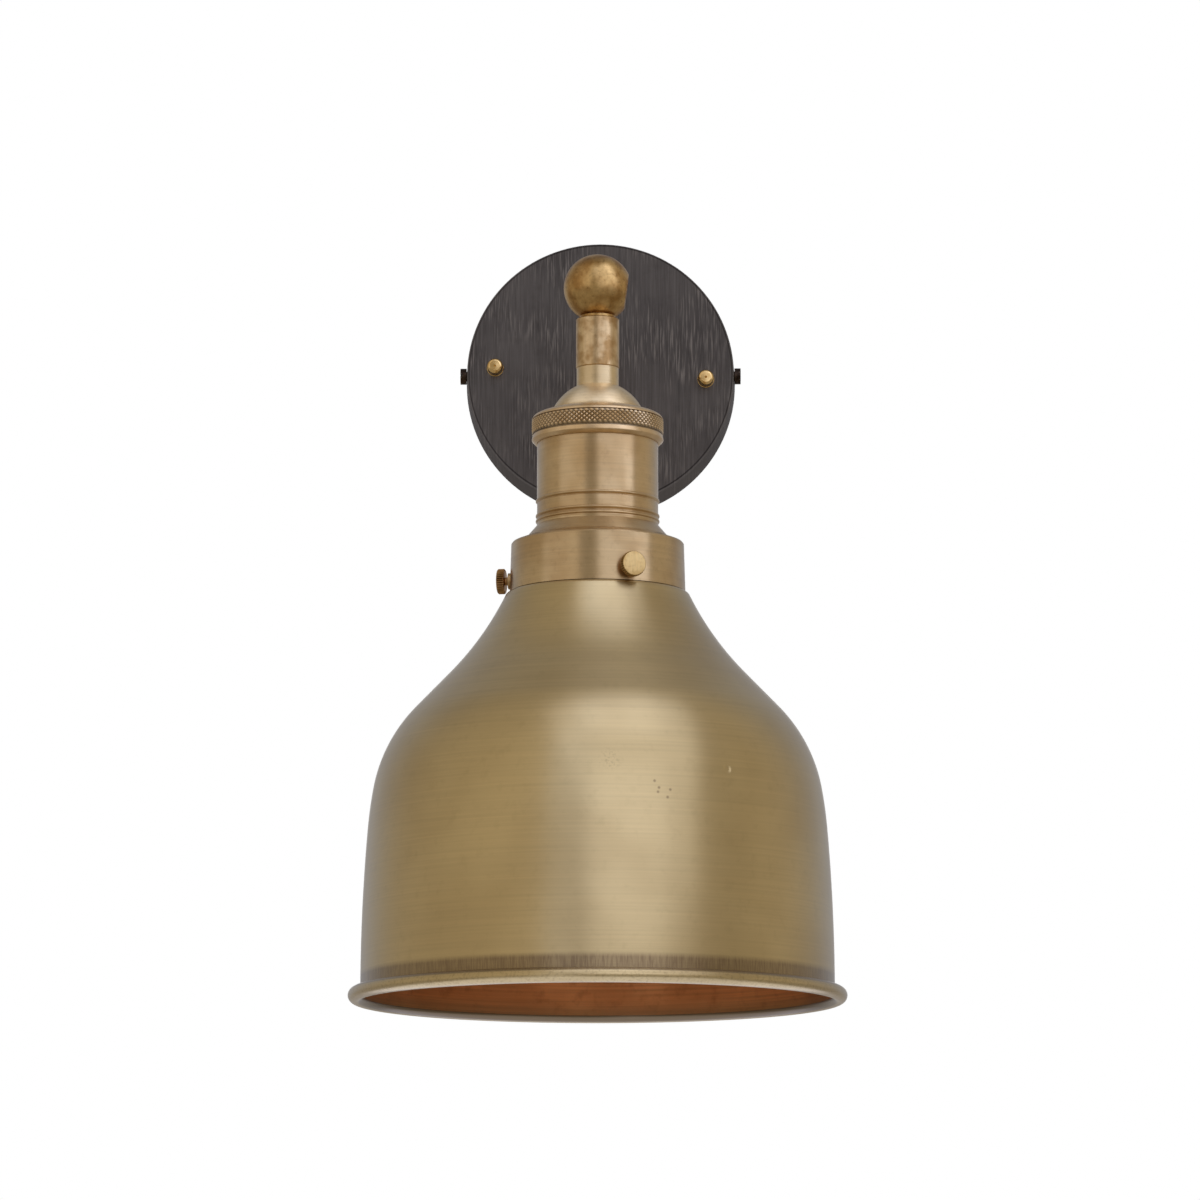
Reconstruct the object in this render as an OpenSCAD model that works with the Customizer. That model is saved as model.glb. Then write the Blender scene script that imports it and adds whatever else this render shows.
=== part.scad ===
// Wall light with a bell shaped brass shade on a tilting ball.
// The origin is on the wall, at the middle of the strap's back. +Y runs into the wall, +Z is up,
// and the lamp hangs on the -Y side.

/* [Wall plate] */
// Diameter of the plate at the wall
plate_d = 108; // [104:1:124]
// How much the plate's radius shrinks from the wall to its front edge
plate_draft = 0.8; // [0.4:0.1:1.6]
// Depth of the plate
plate_depth = 22; // [22:0.5:30]
// Wall of the spun plate
plate_wall = 1.2; // [0.8:0.1:1.6]
// Radius of the plate's front edge
plate_edge_r = 1.3; // [1.3:0.1:3]
// Distance from a cap nut to the plate's edge at the wall
nut_edge = 12; // [11:0.5:15]
// Turn of the row of cap nuts
nut_turn = 3.2; // [0:0.2:4]
// Head diameter of a cap nut
nut_head_d = 6.3; // [6:0.1:7]
// Height of a cap nut
nut_h = 5.6; // [5:0.1:7]
// Distance of the side screws from the wall
side_screw_y = 17; // [14:0.5:17.2]
// Head diameter of a side screw
side_head_d = 6.4; // [5.6:0.1:6.6]
// Head height of a side screw
side_head_h = 2.4; // [2:0.1:3]

/* [Wall strap] */
// Width of the strap
strap_w = 14; // [12:0.5:18]
// Thickness of the strap
strap_t = 2; // [1.5:0.1:2.5]
// Distance between the wall screw slots
slot_spacing = 60; // [50:1:68]
// Width of a wall screw slot
slot_w = 5; // [4:0.1:6]
// Length of a wall screw slot
slot_l = 12; // [8:0.5:16]
// Width of the bar behind the plate's front
bridge_w = 14; // [12:0.5:18]
// Thickness of the bar behind the plate's front
bridge_t = 2; // [1.5:0.1:2.5]

/* [Screws and threads] */
// Thread diameter of the cap nuts, side screws and earth screw
small_thread_d = 4; // [3.5:0.5:4]
// Thread diameter of the hollow threads in the arm and the neck
hollow_thread_d = 10; // [9:0.5:10]
// Bore of the hollow threads
hollow_bore = 7; // [6.4:0.1:7.4]
// Height of the hexagon nuts on the hollow threads
hex_nut_h = 3; // [2.5:0.5:4]

/* [Arm] */
// Distance from the wall to the axis of the lamp
reach = 175; // [150:1:220]
// Diameter of the arm
arm_d = 12.7; // [12:0.1:14]
// Length of thread inside each end of the arm
arm_thread_l = 12; // [8:0.5:16]

/* [Swivel ball] */
// Diameter of the ball
ball_d = 25; // [24:0.1:27]
// Distance from the ball's centre to its flat side
ball_flat = 10.7; // [10:0.1:11.2]
// Slant of the flat side
flat_slant = 7.5; // [0:0.5:8]
// Distance from the ball's centre to the neck
ball_seat = 11.8; // [11.2:0.1:12.4]
// Diameter of the collar under the ball
ball_collar_d = 13; // [12:0.1:15]
// Diameter of the eye in the ball
eye_d = 16; // [15.4:0.1:16.4]
// Thickness of the eye
eye_t = 7; // [6.4:0.1:7.4]
// Diameter of the eye's stem
stem_d = 6.9; // [6.2:0.1:7.2]
// Diameter of the pivot screw
pivot_d = 4; // [3.6:0.1:4.2]
// Head diameter of the pivot screw
pivot_head_d = 8; // [7:0.1:8.4]
// Thickness of a friction washer
washer_t = 0.5; // [0.4:0.1:0.8]
// Tilt of the head towards the wall
tilt_in = 10; // [0:1:12]
// Tilt of the head away from the wall
tilt_out = 70; // [30:1:75]

/* [Neck and cap] */
// Diameter of the upper neck
neck_d = 15.9; // [15:0.1:17]
// Length of the upper neck
neck_l = 18.5; // [12:0.5:30]
// Diameter of the cap's own neck
cap_neck_d = 15.5; // [14.8:0.1:16.4]
// Length of the cap's own neck
cap_neck_l = 6.8; // [4:0.2:12]
// Radius of the dome
dome_r = 18.3; // [17.6:0.1:19]
// Diameter at the foot of the dome
dome_foot_d = 32.9; // [31:0.1:33.4]
// Wall of the cap
cap_wall = 1.2; // [1:0.1:1.6]

/* [Knurled ring] */
// Diameter of the knurled band
ring_d = 48.4; // [47.4:0.1:52]
// Height of the crown above the knurled band
ring_crown_h = 4.5; // [4.2:0.1:6]
// Height of the knurled band
knurl_h = 4.5; // [3:0.1:8]
// Height of the smooth lip under the band
ring_lip_h = 2.9; // [2.4:0.1:5]
// Width and depth of the groove between the band and the lip
ring_groove = 0.6; // [0.3:0.1:0.7]

/* [Lamp holder] */
// Diameter of the holder
holder_d = 44.4; // [43.6:0.1:45.2]
// Length of the holder down to the shade carrier
holder_l = 38.5; // [36:0.5:50]
// Wall of the holder
holder_wall = 1; // [0.8:0.1:1.2]
// Diameter of the holder's lower thread
holder_thread_d = 37; // [36.4:0.1:37.6]
// Length of the holder's lower thread
holder_thread_l = 10.4; // [8:0.2:12]
// Height of the upper bead above the shade carrier
bead_high = 8.6; // [7:0.1:12]
// Height of the middle bead above the shade carrier
bead_mid = 3; // [2.8:0.1:5]
// Height of the lower bead above the shade carrier
bead_low = 1.1; // [1:0.1:1.4]
// How far a bead stands out
bead_proud = 0.35; // [0.2:0.05:0.5]

/* [Lamp socket] */
// Inside diameter of the screw shell
socket_d = 26.7; // [26.5:0.1:27]
// Wall of the screw shell
shell_wall = 0.6; // [0.4:0.1:0.7]
// Depth of the porcelain above its floor
chamber_h = 12.6; // [12:0.1:20]
// Thickness of the porcelain floor
floor_t = 6; // [5:0.5:8]
// Wall of the porcelain above its floor
core_wall = 2.5; // [2:0.1:3]

/* [Shade carrier] */
// Diameter of the carrier at its lower edge
carrier_d = 64.2; // [63.6:0.1:68]
// Diameter of the carrier at its upper corner
carrier_top_d = 63.2; // [62.6:0.1:67]
// Height of the carrier
carrier_h = 25.3; // [22:0.1:32]
// Diameter at the foot of the flare
flare_d = 52.6; // [50:0.1:56]
// Height of the flare
flare_h = 5.2; // [4.8:0.1:7]
// Height of the shallow cone outside the flare
crown_h = 2; // [1:0.1:3]
// Wall of the carrier
carrier_wall = 1.1; // [0.9:0.1:1.4]

/* [Thumbscrews] */
// Height of the screws above the carrier's lower edge
screw_up = 5.2; // [4.8:0.1:7]
// Diameter of the knurled head
thumb_head_d = 9.3; // [8:0.1:11]
// Thickness of the knurled head
thumb_head_t = 2.8; // [2:0.1:4]
// Thread diameter of a thumbscrew
thumb_thread_d = 3.8; // [3:0.1:4.4]
// Space between the carrier and the head
thumb_stand = 2.1; // [1.8:0.1:4]
// Angle of the front screw from the lamp's front
thumb_turn = 21.4; // [0:0.2:40]
// Number of ridges on a thumbscrew's rim
thumb_ridges = 34; // [20:2:40]
// Depth of the grooves between the ridges
ridge_depth = 0.25; // [0.15:0.05:0.35]

/* [Shade] */
// Diameter of the skirt at the rim
shade_d = 171; // [168:1:176]
// Height of the shade from the carrier's lower edge to the bottom of the rim
shade_h = 150; // [148:1:170]
// Thickness of the sheet
sheet = 0.9; // [0.7:0.1:1.2]
// Diameter of the neck that the screws hold
shade_neck_d = 59.2; // [58.6:0.1:59.4]
// Width of the ledge under the carrier
ledge = 2.2; // [2:0.1:3]
// Slope of the shade under the ledge, from the upright
slope_top = 26; // [24:0.5:28]
// Steepest slope of the cone, from the upright
slope_cone = 44; // [42:0.5:46]
// Radius of the hollow sweep into the cone
sweep_r = 114; // [100:1:120]
// Radius of the shoulder
shoulder_r = 56; // [50:1:58]
// Radius of the upper skirt
skirt_r = 160; // [140:1:165]
// Radius of the lower skirt
bow_r = 700; // [600:10:730]
// Radius of the rolled rim, to the middle of the sheet
curl_r = 2.25; // [2:0.05:2.6]

/* [Wires] */
// Diameter of an insulated wire
wire_d = 1.9; // [1.6:0.1:1.9]

/* [Clearances] */
// Radial clearance in a thread or a turned fit
thread_gap = 0.05; // [0.03:0.01:0.08]
// Radial clearance of a plain screw hole
hole_gap = 0.2; // [0.15:0.05:0.3]
// Space between pieces that don't touch
free_gap = 0.3; // [0.25:0.05:0.4]

/* [Hidden] */
$fn = 72;

// Wall plate and what is behind it, measured from the wall
plate_r = plate_d/2;
plate_front_r = plate_r - plate_draft;
plate_inside = plate_depth - plate_wall;
nut_spacing = plate_d - 2*nut_edge;
bridge_past = 4.7;
small_r = small_thread_d/2 - thread_gap;
small_tap_r = small_thread_d/2;
small_hole_r = small_thread_d/2 + hole_gap;
bridge_back = plate_inside - bridge_t;
side_wall_r = plate_r_at(side_screw_y);
side_seat = plate_r_at(side_screw_y - side_head_d/2) + thread_gap;
strap_half = sqrt(pow(plate_r_at(plate_inside) - plate_wall - free_gap, 2)
    - pow(strap_w/2, 2));
strap_bend_r = 2*strap_t;
ear_top = plate_inside - free_gap - thread_gap;
stud_head_h = 2.4;
stud_head_r = 3.6;
nut_flange_h = 0.9;
nut_groove_h = 0.7;
earth_x = -14;

// Terminal block behind the bridge
pole_pitch = 8;
block_x = 25;
block_l = 3*pole_pitch;
block_w = 16;
block_h = 12;
block_face = bridge_back - block_h;
barrel_y = bridge_back - 6.2;
barrel_r = 1.9;
barrel_bore_r = 1.25;
barrel_l = 14;
clamp_side = 4;
clamp_hole_r = 1.25;
block_screw_r = 1 - thread_gap;
block_head_r = 1.5;

// Arm
hollow_r = hollow_thread_d/2 - thread_gap;
hollow_tap_r = hollow_thread_d/2;
hollow_bore_r = hollow_bore/2;
arm_washer_t = 1;
nipple_show = 1.5;
nipple_back = bridge_back - arm_washer_t - hex_nut_h - nipple_show;
nipple_front = plate_depth + arm_thread_l - 1;
hex_across = 14;
hex_r = hex_across/2/cos(30);

// Ball, measured from its centre
ball_r = ball_d/2;
eye_r = eye_d/2;
stem_r = stem_d/2;
eye_boss_r = 5.2;
cavity_r = eye_r + free_gap;
cavity_half = eye_t/2 + thread_gap + washer_t;
slot_half = stem_r + free_gap;
collar_out = ball_r + 0.5;
arm_end = collar_out + 2;
wire_bore_r = 1.21*wire_d;
elbow_y = pivot_d/2 + thread_gap + 0.65 + wire_bore_r;
pivot_sink = 0.3;
pivot_head_h = 2.4;
pivot_end = -9;

// Head, measured down from the ball's centre
z_neck = -ball_seat;
z_cap = z_neck - neck_l;
z_dome = z_cap - cap_neck_l;
neck_r = neck_d/2;
cap_neck_r = cap_neck_d/2;
dome_foot_r = dome_foot_d/2;
z_dome_centre = z_dome - sqrt(dome_r*dome_r - cap_neck_r*cap_neck_r);
z_dome_foot = z_dome_centre + sqrt(dome_r*dome_r - dome_foot_r*dome_foot_r);
z_boss = z_dome - 3.4;
z_nipple_top = -eye_r - free_gap - 0.3;
z_nipple_bottom = z_boss - hex_nut_h - 1;
earth_y = 11.5;
z_earth_boss = z_dome_foot - 1.8;

z_ring = z_dome_foot - 0.4;
z_flange = z_ring - 2.9;
cap_flange_t = 1.2;
z_holder = z_flange - cap_flange_t;
ring_r = ring_d/2;
z_knurl = z_ring - ring_crown_h;
z_groove = z_knurl - knurl_h;
z_lip = z_groove - ring_groove;
z_ring_end = z_lip - ring_lip_h;

holder_r = holder_d/2;
holder_in_r = holder_r - holder_wall;
holder_thread_r = holder_thread_d/2;
z_shoulder = z_holder - holder_l;
z_thread_end = z_shoulder - holder_thread_l;

// Porcelain and contacts
core_r = holder_in_r - free_gap;
core_low_r = holder_thread_r - holder_wall - free_gap;
z_core = z_holder - free_gap;
z_floor = z_core - chamber_h;
z_floor_under = z_floor - floor_t;
z_core_step = z_shoulder + holder_wall + thread_gap;
z_core_end = z_thread_end + 0.6;
shell_r = socket_d/2;
shell_out_r = shell_r + shell_wall;
z_shell_top = z_floor_under - 6.5;
live_x = -6;
neutral_x = 9.8;
post_half_x = 3;
post_back = 2.5;
post_front = 5;
post_h = 8;
post_wire_y = 3;
post_wire_depth = 6;
contact_t = 0.5;
floor_screw_r = 1.2;
tab_x = 6.6;

// Shade carrier
carrier_r = carrier_d/2;
carrier_top_r = carrier_top_d/2;
flare_r = flare_d/2;
carrier_neck_r = holder_r + 0.1;
z_carrier_end = z_shoulder - carrier_h;
z_flare = z_shoulder - flare_h;
z_carrier_corner = z_flare - crown_h;
clamp_r = holder_r - 1.3;
clamp_grip_r = holder_r + 0.8;
z_clamp = z_shoulder - carrier_wall;
clamp_h = 5;
grip_h = 1.4;

// Thumbscrews
z_screw = z_carrier_end + screw_up;
thumb_r = thumb_thread_d/2;
thumb_boss_r = thumb_r + 1.1;
thumb_boss_h = 0.9;
thumb_tip = shade_neck_d/2 + free_gap;
thumb_head = carrier_r + thumb_stand;
thumb_waist_r = thumb_r - 0.5;
THUMB_ANGLES = [thumb_turn, thumb_turn - 120, thumb_turn + 120];

// Shade
shade_neck_r = shade_neck_d/2;
shade_r = shade_d/2;
lip_h = 1.2;
lip_r = carrier_inner_at(z_screw + thumb_r) - free_gap;
z_lip_under = z_screw + thumb_r + free_gap;
fold_r = 1;
ledge_r = 2;
ledge_slope = 75;
skirt_slope = 10;
bow_slope = 4.6;
curl_turn = 300;
z_fold = z_carrier_end - thread_gap + fold_r*sin(ledge_slope);
z_curl = z_carrier_end - shade_h + curl_r + sheet/2;

// Wires: three cores on a small circle about the axis of the tube they run in
wire_r = wire_d/2;
core_circle = 0.63*wire_d;
core_x = core_circle*cos(30);
core_low = core_circle*sin(30);
elbow_cut = 0.8;
spread = 2.4;
wire_low = strap_t + 3.2;

// Radius of the plate's outside at a distance from the wall
function plate_r_at(y) = plate_r - plate_draft*y/(plate_depth - plate_edge_r);

// Radius of the carrier's inside at a height
function carrier_inner_at(z) = carrier_top_r - carrier_wall
    + (carrier_r - carrier_top_r)*(z_carrier_corner - z)/(z_carrier_corner - z_carrier_end);

// Points of an arc about a centre
function arc(cx, cy, r, from, to, steps) =
    [for (i = [0:steps]) let (a = from + (to - from)*i/steps) [cx + r*cos(a), cy + r*sin(a)]];

// A station on a turned outline is [radius, height, heading], with the heading from the upright
function last(list) = list[len(list) - 1];
function line_on(path, length) = let (p = last(path))
    concat(path, [[p[0] + length*sin(p[2]), p[1] - length*cos(p[2]), p[2]]]);
function arc_on(path, radius, heading, steps) = let (p = last(path), s = sign(heading - p[2]))
    concat(path, [for (i = [1:steps]) let (a = p[2] + (heading - p[2])*i/steps)
        [p[0] + s*radius*(cos(p[2]) - cos(a)), p[1] - s*radius*(sin(a) - sin(p[2])), a]]);
function outside(path) = [for (p = path) [p[0], p[1]]];
function inside(path, wall) = [for (i = [len(path) - 1:-1:0]) let (p = path[i])
    [p[0] - wall*cos(p[2]), p[1] - wall*sin(p[2])]];

// Growth of a bend in radius and in height, for the length of the cone and the skirt
function bend_out(radius, from, to) = radius*abs(cos(from) - cos(to));
function bend_down(radius, from, to) = radius*abs(sin(from) - sin(to));

shade_top_r = shade_neck_r + bend_out(fold_r, 0, ledge_slope) + ledge*sin(ledge_slope)
    + bend_out(ledge_r, ledge_slope, slope_top);
cone_l = (shade_r - shade_top_r - bend_out(sweep_r, slope_top, slope_cone)
    - bend_out(shoulder_r, slope_cone, skirt_slope) - bend_out(skirt_r, skirt_slope, bow_slope)
    - bend_out(bow_r, bow_slope, 0))/sin(slope_cone);
path_neck = line_on([[shade_neck_r, z_lip_under, 0]], z_lip_under - z_fold);
path_fold = arc_on(path_neck, fold_r, ledge_slope, 4);
path_ledge = arc_on(line_on(path_fold, ledge), ledge_r, slope_top, 5);
path_cone = line_on(arc_on(path_ledge, sweep_r, slope_cone, 7), cone_l);
path_shoulder = arc_on(path_cone, shoulder_r, skirt_slope, 10);
path_skirt = arc_on(arc_on(path_shoulder, skirt_r, bow_slope, 3), bow_r, 0, 5);
path_rim = line_on(path_skirt, last(path_skirt)[1] - z_curl);
path_shade = arc_on(path_rim, curl_r - sheet/2, curl_turn, 20);

// Places: on the wall with local z towards the room, and at the ball's centre
module on_wall() {
    rotate([90, 0, 0]) children();
}

module at_head() {
    translate([0, -reach, 0]) children();
}

// A solid turned about z from an outline of [radius, height]
module turned(outline) {
    rotate_extrude() polygon(outline);
}

// A round ring or tube about z
module tube(outer, inner, from, to) {
    translate([0, 0, min(from, to)]) difference() {
        cylinder(r = outer, h = abs(to - from));
        translate([0, 0, -1]) cylinder(r = inner, h = abs(to - from) + 2);
    }
}

// A round bar about z
module rod(r, from, to) {
    translate([0, 0, min(from, to)]) cylinder(r = r, h = abs(to - from));
}

// A hole with round ends, as a flat shape along x
module slot_shape(width, length) {
    square([length - width, width], center = true);
    for (side = [-1, 1]) {
        translate([side*(length - width)/2, 0]) circle(d = width);
    }
}

// A screw along z with its slotted head above z = 0 and its shank below
module slotted_screw(head_r, head_h, shank_r, length, slot_turn) {
    rotate([0, 0, slot_turn]) difference() {
        rod(head_r, 0, head_h);
        translate([-head_r - 1, -0.4, 0.6*head_h]) cube([2*head_r + 2, 0.8, head_h]);
    }
    rod(shank_r, -length, 0.5*head_h);
}

// A wire through a list of points, with a small round knuckle at each corner
module wire(points) {
    for (i = [0:len(points) - 2]) {
        wire_run(points[i], points[i + 1]);
    }
    for (i = [1:len(points) - 2]) {
        translate(points[i]) sphere(r = wire_r + 0.05);
    }
}

module wire_run(a, b) {
    d = b - a;
    translate(a) rotate([0, acos(d[2]/norm(d)), atan2(d[1], d[0])])
        cylinder(r = wire_r, h = norm(d));
}

// Steel strap: a flat bar with a bent ear at each end
module strap_profile() {
    translate([-strap_half + strap_bend_r, 0]) square([2*(strap_half - strap_bend_r), strap_t]);
    for (side = [0, 1]) mirror([side, 0]) {
        translate([strap_half - strap_t, strap_bend_r]) square([strap_t, ear_top - strap_bend_r]);
        translate([strap_half - strap_bend_r, strap_bend_r]) intersection() {
            difference() {
                circle(r = strap_bend_r);
                circle(r = strap_bend_r - strap_t);
            }
            translate([0, -strap_bend_r]) square(strap_bend_r);
        }
    }
}

module wall_strap() {
    color("lightslategray") on_wall() difference() {
        translate([0, strap_w/2, 0]) rotate([90, 0, 0]) linear_extrude(strap_w) strap_profile();
        for (side = [-1, 1]) {
            translate([side*slot_spacing/2, 0, -1]) linear_extrude(strap_t + 2)
                slot_shape(slot_w, slot_l);
        }
        for (side = [-1, 1]) {
            translate([side*strap_half, 0, side_screw_y]) rotate([0, 90, 0])
                cylinder(r = small_tap_r, h = 4*strap_t, center = true);
        }
        translate([earth_x, 0, -1]) cylinder(r = small_tap_r, h = strap_t + 2);
    }
}

module earth_screw() {
    washer_r = 3.6;
    head_r = 3.4;
    head_h = 2;
    turn = 30;
    washer_low = wire_r + 0.1;
    washer_top = washer_low + 0.8;
    color("goldenrod") on_wall() translate([earth_x, 0, strap_t]) {
        tube(washer_r, small_r + hole_gap, washer_low, washer_top);
        translate([0, 0, washer_top]) slotted_screw(head_r, head_h, small_r, washer_top + strap_t, turn);
    }
}

// Spun steel cup that covers the strap
module wall_plate() {
    color("#4f4a4d") on_wall() difference() {
        turned(concat(
            [[hollow_thread_d/2 + hole_gap, plate_depth]],
            [[hollow_thread_d/2 + hole_gap, plate_inside]],
            [[plate_r_at(plate_inside) - plate_wall, plate_inside]],
            [[plate_r - plate_wall, 0]],
            [[plate_r, 0]],
            arc(plate_front_r - plate_edge_r, plate_depth - plate_edge_r, plate_edge_r, 0, 90, 6)
        ));
        rotate([0, 0, -nut_turn]) for (side = [-1, 1]) {
            translate([side*nut_spacing/2, 0, plate_inside - 1])
                cylinder(r = small_hole_r, h = plate_wall + 2);
        }
        for (side = [-1, 1]) {
            translate([side*side_wall_r, 0, side_screw_y]) rotate([0, 90, 0])
                cylinder(r = small_hole_r, h = 6*plate_wall, center = true);
        }
    }
}

module side_screws() {
    past_ear = 1.5;
    turn = 30;
    shank_l = side_seat - strap_half + strap_t + past_ear;
    color("#3a2f28") on_wall() for (side = [-1, 1]) {
        translate([side*side_seat, 0, side_screw_y]) rotate([0, side*90, 0])
            slotted_screw(side_head_d/2, side_head_h, small_r, shank_l, (1 + side)*turn);
    }
}

// Bar behind the plate's front that carries the arm and the terminal block
module inner_bridge() {
    color("silver") on_wall() translate([0, 0, bridge_back]) difference() {
        rotate([0, 0, -nut_turn]) linear_extrude(bridge_t) difference() {
            slot_shape(bridge_w, nut_spacing + 2*bridge_past);
            circle(r = hollow_thread_d/2 + hole_gap);
            for (side = [-1, 1]) {
                translate([side*nut_spacing/2, 0]) circle(r = small_hole_r);
            }
        }
        translate([block_x + pole_pitch/2, 0, -1]) cylinder(r = 1, h = bridge_t + 2);
    }
}

module bridge_screws() {
    color("gainsboro") on_wall() rotate([0, 0, -nut_turn]) for (side = [-1, 1]) {
        translate([side*nut_spacing/2, 0, 0]) {
            difference() {
                rod(stud_head_r, bridge_back - stud_head_h, bridge_back);
                translate([-stud_head_r - 1, -0.5, bridge_back - stud_head_h - 1])
                    cube([2*stud_head_r + 2, 1, 2]);
            }
            rod(small_r, bridge_back - 1, plate_depth + nut_h - 2.2);
        }
    }
}

// Brass cap nuts: a foot ring, a groove and a domed head with a turned centre mark
module cap_nuts() {
    head_r = nut_head_d/2;
    foot_r = head_r + 0.2;
    dome_h = 1.6;
    color("#e3c98f") on_wall() rotate([0, 0, -nut_turn]) for (side = [-1, 1]) {
        translate([side*nut_spacing/2, 0, plate_depth]) turned(concat(
            [[small_tap_r, 0], [foot_r - 0.2, 0], [foot_r, 0.2], [foot_r, nut_flange_h - 0.2]],
            [[foot_r - 0.2, nut_flange_h], [head_r - 0.55, nut_flange_h]],
            [[head_r - 0.55, nut_flange_h + nut_groove_h], [head_r, nut_flange_h + nut_groove_h + 0.3]],
            [for (i = [0:5]) let (a = 90*i/6)
                [head_r - 1.5 + 1.5*cos(a), nut_h - dome_h + dome_h*sin(a)]],
            [[0.5, nut_h], [0, nut_h - 0.5], [0, nut_h - 2], [small_tap_r, nut_h - 2]]
        ));
    }
}

// Three pole terminal block with brass barrels along z
module terminal_block() {
    color("ivory") on_wall() difference() {
        union() {
            translate([block_x - block_l/2, -block_w/2, bridge_back - 4])
                cube([block_l, block_w, 4]);
            for (i = [-1:1]) translate([block_x + i*pole_pitch, 0, 0]) {
                translate([-3.4, -block_w/2, block_face]) cube([6.8, block_w, block_h - 3.5]);
            }
        }
        for (i = [-1:1]) translate([block_x + i*pole_pitch, 0, 0]) {
            translate([0, 0, barrel_y]) rotate([90, 0, 0])
                cylinder(r = barrel_r + thread_gap, h = block_w + 2, center = true);
            for (side = [-1, 1]) {
                translate([0, side*clamp_side, block_face - 1])
                    cylinder(r = clamp_hole_r + 0.65, h = barrel_y - block_face + 1);
            }
        }
        translate([block_x + pole_pitch/2, 0, block_face - 1])
            cylinder(r = block_head_r + 0.1, h = block_h - 3);
        translate([block_x + pole_pitch/2, 0, bridge_back - 5])
            cylinder(r = block_screw_r + hole_gap, h = 6);
    }
}

module terminal_barrels() {
    color("#c9a86a") on_wall() for (i = [-1:1]) translate([block_x + i*pole_pitch, 0, barrel_y]) {
        difference() {
            rotate([90, 0, 0]) cylinder(r = barrel_r, h = barrel_l, center = true);
            rotate([90, 0, 0]) cylinder(r = barrel_bore_r, h = barrel_l + 2, center = true);
            for (side = [-1, 1]) {
                translate([0, side*clamp_side, -barrel_r - 1])
                    cylinder(r = clamp_hole_r, h = barrel_r + 1);
            }
        }
    }
}

module terminal_screws() {
    head_r = 1.7;
    head_h = 1.6;
    shank_r = clamp_hole_r - thread_gap;
    color("silver") on_wall() for (i = [-1:1]) for (side = [-1, 1]) {
        translate([block_x + i*pole_pitch, side*clamp_side, barrel_y - barrel_r - 0.1])
            rotate([180, 0, 0]) slotted_screw(head_r, head_h, shank_r, barrel_r - wire_r, 20*i);
    }
}

module block_screw() {
    color("silver") on_wall() translate([block_x + pole_pitch/2, 0, bridge_back - 4])
        rotate([180, 0, 0]) slotted_screw(block_head_r, 1.4, block_screw_r, 4 + bridge_t, 45);
}

// Hollow thread that holds the arm to the plate and the bridge
module arm_nipple() {
    color("gold") on_wall() tube(hollow_r, hollow_bore_r, nipple_back, nipple_front);
}

module arm_washer() {
    color("silver") on_wall()
        tube(9, hollow_thread_d/2 + hole_gap, bridge_back - arm_washer_t, bridge_back);
}

// A hexagon nut on a hollow thread
module hollow_nut(from, to) {
    translate([0, 0, min(from, to)]) difference() {
        cylinder(r = hex_r, h = abs(to - from), $fn = 6);
        translate([0, 0, -1]) cylinder(r = hollow_tap_r, h = abs(to - from) + 2);
    }
}

module arm_nut() {
    color("gold") on_wall()
        hollow_nut(bridge_back - arm_washer_t - hex_nut_h, bridge_back - arm_washer_t);
}

module arm_tube() {
    chamfer = 0.4;
    arm_r = arm_d/2;
    color("#a98f60") on_wall() turned([
        [hollow_tap_r, plate_depth], [arm_r - chamfer, plate_depth],
        [arm_r, plate_depth + chamfer], [arm_r, reach - arm_end - chamfer],
        [arm_r - chamfer, reach - arm_end], [hollow_tap_r, reach - arm_end]
    ]);
}

// Space beside the eye where the cores pass from the stem to the neck at every tilt
module core_relief() {
    far = 2*eye_r;
    rotate([90, 0, 90]) difference() {
        linear_extrude(eye_t + 2, center = true)
            polygon([[0, 0], [-far, 0], [-far, -far], [far, -far], [far, -far*tan(25)]]);
        cylinder(r = eye_boss_r, h = eye_t + 4, center = true);
    }
}

// End of the arm: a threaded spigot, a collar, a stem and the eye inside the ball
module knuckle_eye() {
    color("#a98f60") at_head() difference() {
        union() {
            rotate([-90, 0, 0]) turned([
                [0, 0], [stem_r, 0], [stem_r, collar_out], [arm_d/2 - 0.4, collar_out],
                [arm_d/2, collar_out + 0.4], [arm_d/2, arm_end], [hollow_r, arm_end],
                [hollow_r, arm_end + arm_thread_l - 1], [0, arm_end + arm_thread_l - 1]
            ]);
            difference() {
                rotate([0, 90, 0]) cylinder(r = eye_r, h = eye_t, center = true);
                core_relief();
            }
        }
        rotate([0, 90, 0]) cylinder(r = pivot_d/2 + thread_gap, h = eye_t + 2, center = true);
        translate([0, elbow_y, 0]) {
            rotate([-90, 0, 0]) cylinder(r = wire_bore_r, h = arm_end + arm_thread_l);
            sphere(r = wire_bore_r);
            rotate([180, 0, 0]) cylinder(r = wire_bore_r, h = eye_r);
        }
        translate([0, arm_end + arm_thread_l - 1, 0]) rotate([90, 0, 0])
            cylinder(r1 = hollow_bore_r, r2 = wire_bore_r, h = 3);
    }
}

// A core from its barrel, through the arm and down into the eye
module arm_lead(pole, run, x, up, low) {
    from = block_x + pole*pole_pitch;
    bend = -reach + elbow_y - up;
    wire([
        [from, -barrel_y, 4.5], [from, -barrel_y, run],
        [x, -low, run], [x, -low, up],
        [x, bend + elbow_cut, up], [x, bend, up - elbow_cut],
        [x, bend, -eye_r + 3.4]
    ]);
}

module neutral_lead() {
    color("royalblue") arm_lead(-1, block_w/2 + 3, core_x, -core_low, wire_low);
}

module live_lead() {
    color("saddlebrown") arm_lead(0, block_w/2 + 3 + spread, -core_x, -core_low, wire_low);
}

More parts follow.
